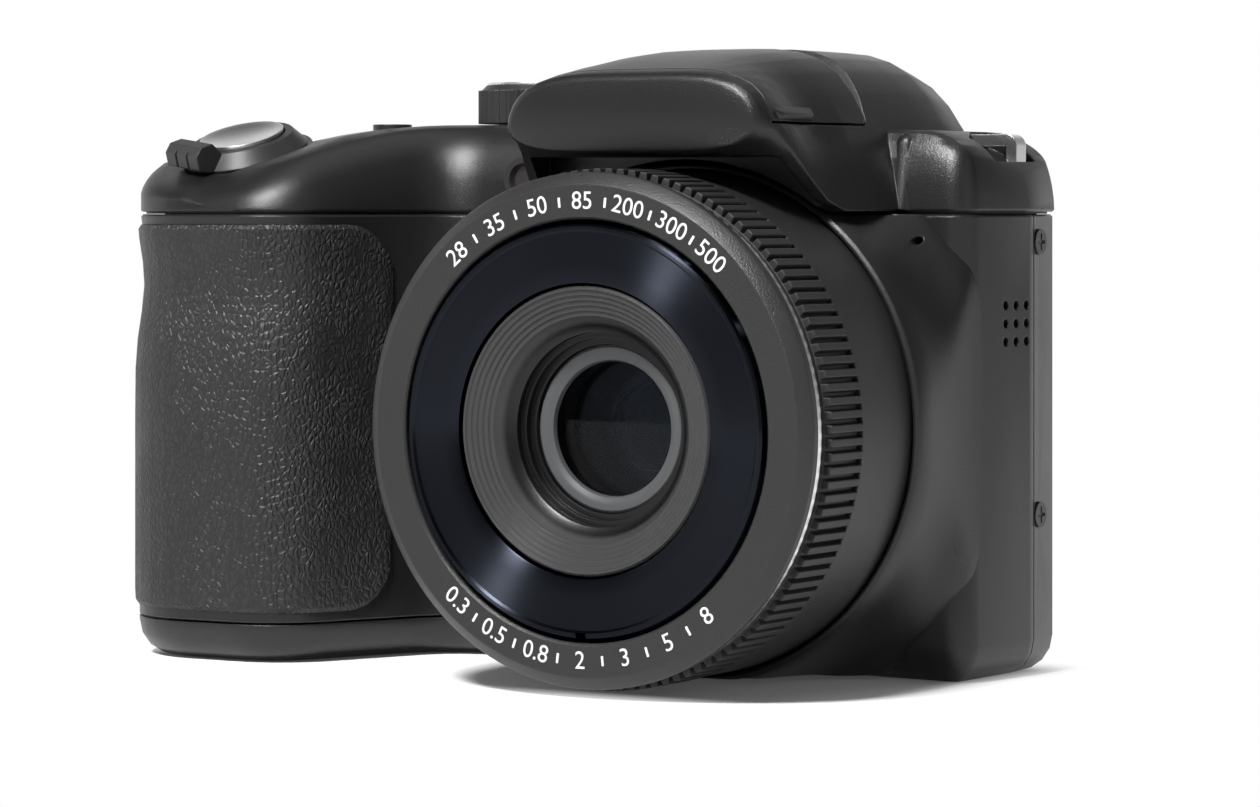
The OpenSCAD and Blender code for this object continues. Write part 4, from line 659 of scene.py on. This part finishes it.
def one_print(pieces, name, body, ink):
    """Marks put on together: one mesh, that rides on a body."""
    bpy.ops.object.select_all(action="DESELECT")
    for o in pieces:
        o.select_set(True)
    bpy.context.view_layer.objects.active = pieces[0]
    if len(pieces) > 1:
        bpy.ops.object.join()
    o = bpy.context.object
    o.name = o.data.name = name
    o.data.materials.clear()
    o.data.materials.append(ink)
    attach(o, body)
    return o


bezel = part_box("lens_bezel")
bezel_axis = (bezel[0] + bezel[1]) / 2
scale_r = 0.0273


def on_bezel(mark, degrees, facing):
    """Lays a mark on the bezel's face, that far round from the top, with its foot in (1) or out (-1)."""
    a = math.radians(degrees)
    out = Vector((math.sin(a), 0, math.cos(a)))
    along = Vector((math.cos(a), 0, -math.sin(a)))
    spot = Vector((bezel_axis.x, bezel[0].y, bezel_axis.z)) + out * scale_r
    return lay(mark, along * facing, out * facing, spot)


scale = []
for first, step, facing, row in ((-40, 13.4, 1, ("28", "35", "50", "85", "200", "300", "500")),
                                 (220, -13.2, -1, ("0.3", "0.5", "0.8", "2", "3", "5", "8"))):
    for k, words in enumerate(row):
        scale.append(on_bezel(lettering(words, 0.0021), first + step * k, facing))
        if k:
            scale.append(on_bezel(bar(0.00032, 0.0012), first + step * (k - 0.5), facing))
one_print(scale, "bezel_scale", "camera", printed_white)

# Dial and deck: numbers in black ink on the dial's bright cap, and a white line on the deck beside
# it that they are set to.
printed_black = moulded("printed_black", (0.012, 0.012, 0.012), (0.03, 0.03, 0.03), 0.5, 0.6,
                        9000.0, 0.000004, 0.00001)


def meet(node, start, way):
    """Where a line first meets a CAD node, and the way the surface faces there."""
    tree = BVHTree.FromObject(nodes[node], bpy.context.evaluated_depsgraph_get())
    spot, face, _, _ = tree.ray_cast(Vector(start), Vector(way))
    return spot, face


dial_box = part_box("mode_dial")
dial_axis = (dial_box[0] + dial_box[1]) / 2
numbers = []
for k in range(8):
    a = math.radians(45 * k)
    out = Vector((-math.sin(a), -math.cos(a), 0))
    over = Vector((dial_axis.x, dial_axis.y, 0.1)) + out * 0.0050
    spot, _ = meet("dial_cap", over, (0, 0, -1))
    numbers.append(lay(lettering(str(k + 1), 0.0016), (-out.y, out.x, 0), out, spot))
one_print(numbers, "dial_numbers", "dial", printed_black)
spot, face = meet("top_cover", (dial_box[0].x - 0.0015, dial_axis.y, 0.1), (0, 0, -1))
one_print([lay(bar(0.0018, 0.0004), (1, 0, 0), face.cross(Vector((1, 0, 0))), spot)], "dial_index", "camera",
          printed_white)

# Signs on the buttons: a ring and bar for power, stacked frames for the fast series, arrows on the
# four-way ring, and one sign on each round button at the back.
spot, face = meet("power_button", (-0.067, -0.002, 0.1), (0, 0, -1))
up = Vector((0, 1, 0)) - face * face.y
side = up.cross(face)
one_print([lay(flat_mark(24, 0.0011, hole=0.0008), side, up, spot),
           lay(bar(0.0003, 0.0010), side, up, spot + up * 0.0009)], "power_sign", "power", printed_black)
spot, face = meet("burst_button", (-0.0588, -0.004, 0.1), (0, 0, -1))
up = Vector((0, 1, 0)) - face * face.y
side = up.cross(face)
front_frame = flat_mark(4, 0.0011, 1.3, hole=0.0008, turn=math.pi / 4)
one_print([lay(front_frame, side, up, spot + up * 0.0002 - side * 0.0003),
           lay(bar(0.0014, 0.00024), side, up, spot + up * 0.0013 + side * 0.0005)],
          "burst_sign", "burst", printed_white)


def back_spot(node):
    """The middle of a button's rear face."""
    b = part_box(node)
    m = (b[0] + b[1]) / 2
    spot, _ = meet(node, (m.x, 0.05, m.z), (0, -1, 0))
    return spot


behind = (-1, 0, 0)
upright = (0, 0, 1)
m = back_spot("menu_button")
one_print([lay(bar(0.0026, 0.0004), behind, upright, m + Vector((0, 0, 0.0009 * k))) for k in (-1, 0, 1)],
          "menu_sign", "menu", printed_white)
one_print([lay(flat_mark(3, 0.0016, turn=-math.pi / 2), behind, upright, back_spot("play_button"))],
          "play_sign", "play", printed_white)
m = back_spot("delete_button")
one_print([lay(bar(0.0004, 0.0030), (-1, 0, k), (k, 0, 1), m) for k in (-1, 1)],
          "delete_sign", "delete", printed_white)
m = back_spot("info_button")
one_print([lay(bar(0.0005, 0.0018), behind, upright, m - Vector((0, 0, 0.0004))),
           lay(flat_mark(20, 0.0004), behind, upright, m + Vector((0, 0, 0.0013)))],
          "info_sign", "info", printed_white)
nav_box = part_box("nav_ring")
nav_mid = (nav_box[0] + nav_box[1]) / 2
arrows = []
for k in range(4):
    a = math.radians(90 * k)
    out = Vector((math.sin(a), 0, math.cos(a)))
    spot, _ = meet("nav_ring", nav_mid + out * 0.0068 + Vector((0, 0.03, 0)), (0, -1, 0))
    arrows.append(lay(flat_mark(3, 0.0010), out.cross(Vector((0, 1, 0))), out, spot))
one_print(arrows, "nav_arrows", "nav", printed_white)

# Finger catch: a small ridge moulded on the lower edge of the flash lid, at the right of the hump,
# under which a finger nail lifts the lid.
bpy.ops.object.select_all(action="DESELECT")
bpy.ops.mesh.primitive_cube_add(size=1)
catch = bpy.context.object
bpy.ops.object.mode_set(mode="EDIT")
bpy.ops.mesh.select_all(action="SELECT")
bpy.ops.transform.resize(value=(0.0016, 0.0108, 0.0017), center_override=(0, 0, 0))
bpy.ops.mesh.select_mode(type="FACE")
bpy.ops.mesh.select_all(action="DESELECT")
shape = bmesh.from_edit_mesh(catch.data)
for f in shape.faces:
    f.select_set(f.normal.x > 0.9)
bmesh.update_edit_mesh(catch.data)
bpy.ops.transform.resize(value=(1, 0.72, 0.5), center_override=(0, 0, -0.0004))
bpy.ops.mesh.select_all(action="SELECT")
bpy.ops.mesh.bevel(offset=0.00028, segments=4, affect="EDGES")
bpy.ops.mesh.select_all(action="SELECT")
bpy.ops.transform.rotate(value=math.radians(-14), orient_axis="Y", center_override=(0, 0, 0))
bpy.ops.mesh.normals_make_consistent(inside=False)
bpy.ops.object.mode_set(mode="OBJECT")
bpy.ops.object.shade_smooth_by_angle(angle=math.radians(40))
spot, _ = meet("flash_lid", (0.06, -0.0315, 0.0697), (-1, 0, 0))
catch.location = spot + Vector((0.0002, 0, 0))
bpy.ops.object.transform_apply(location=True, rotation=True, scale=True)
one_print([catch], "lid_catch", "flash", shell_black)
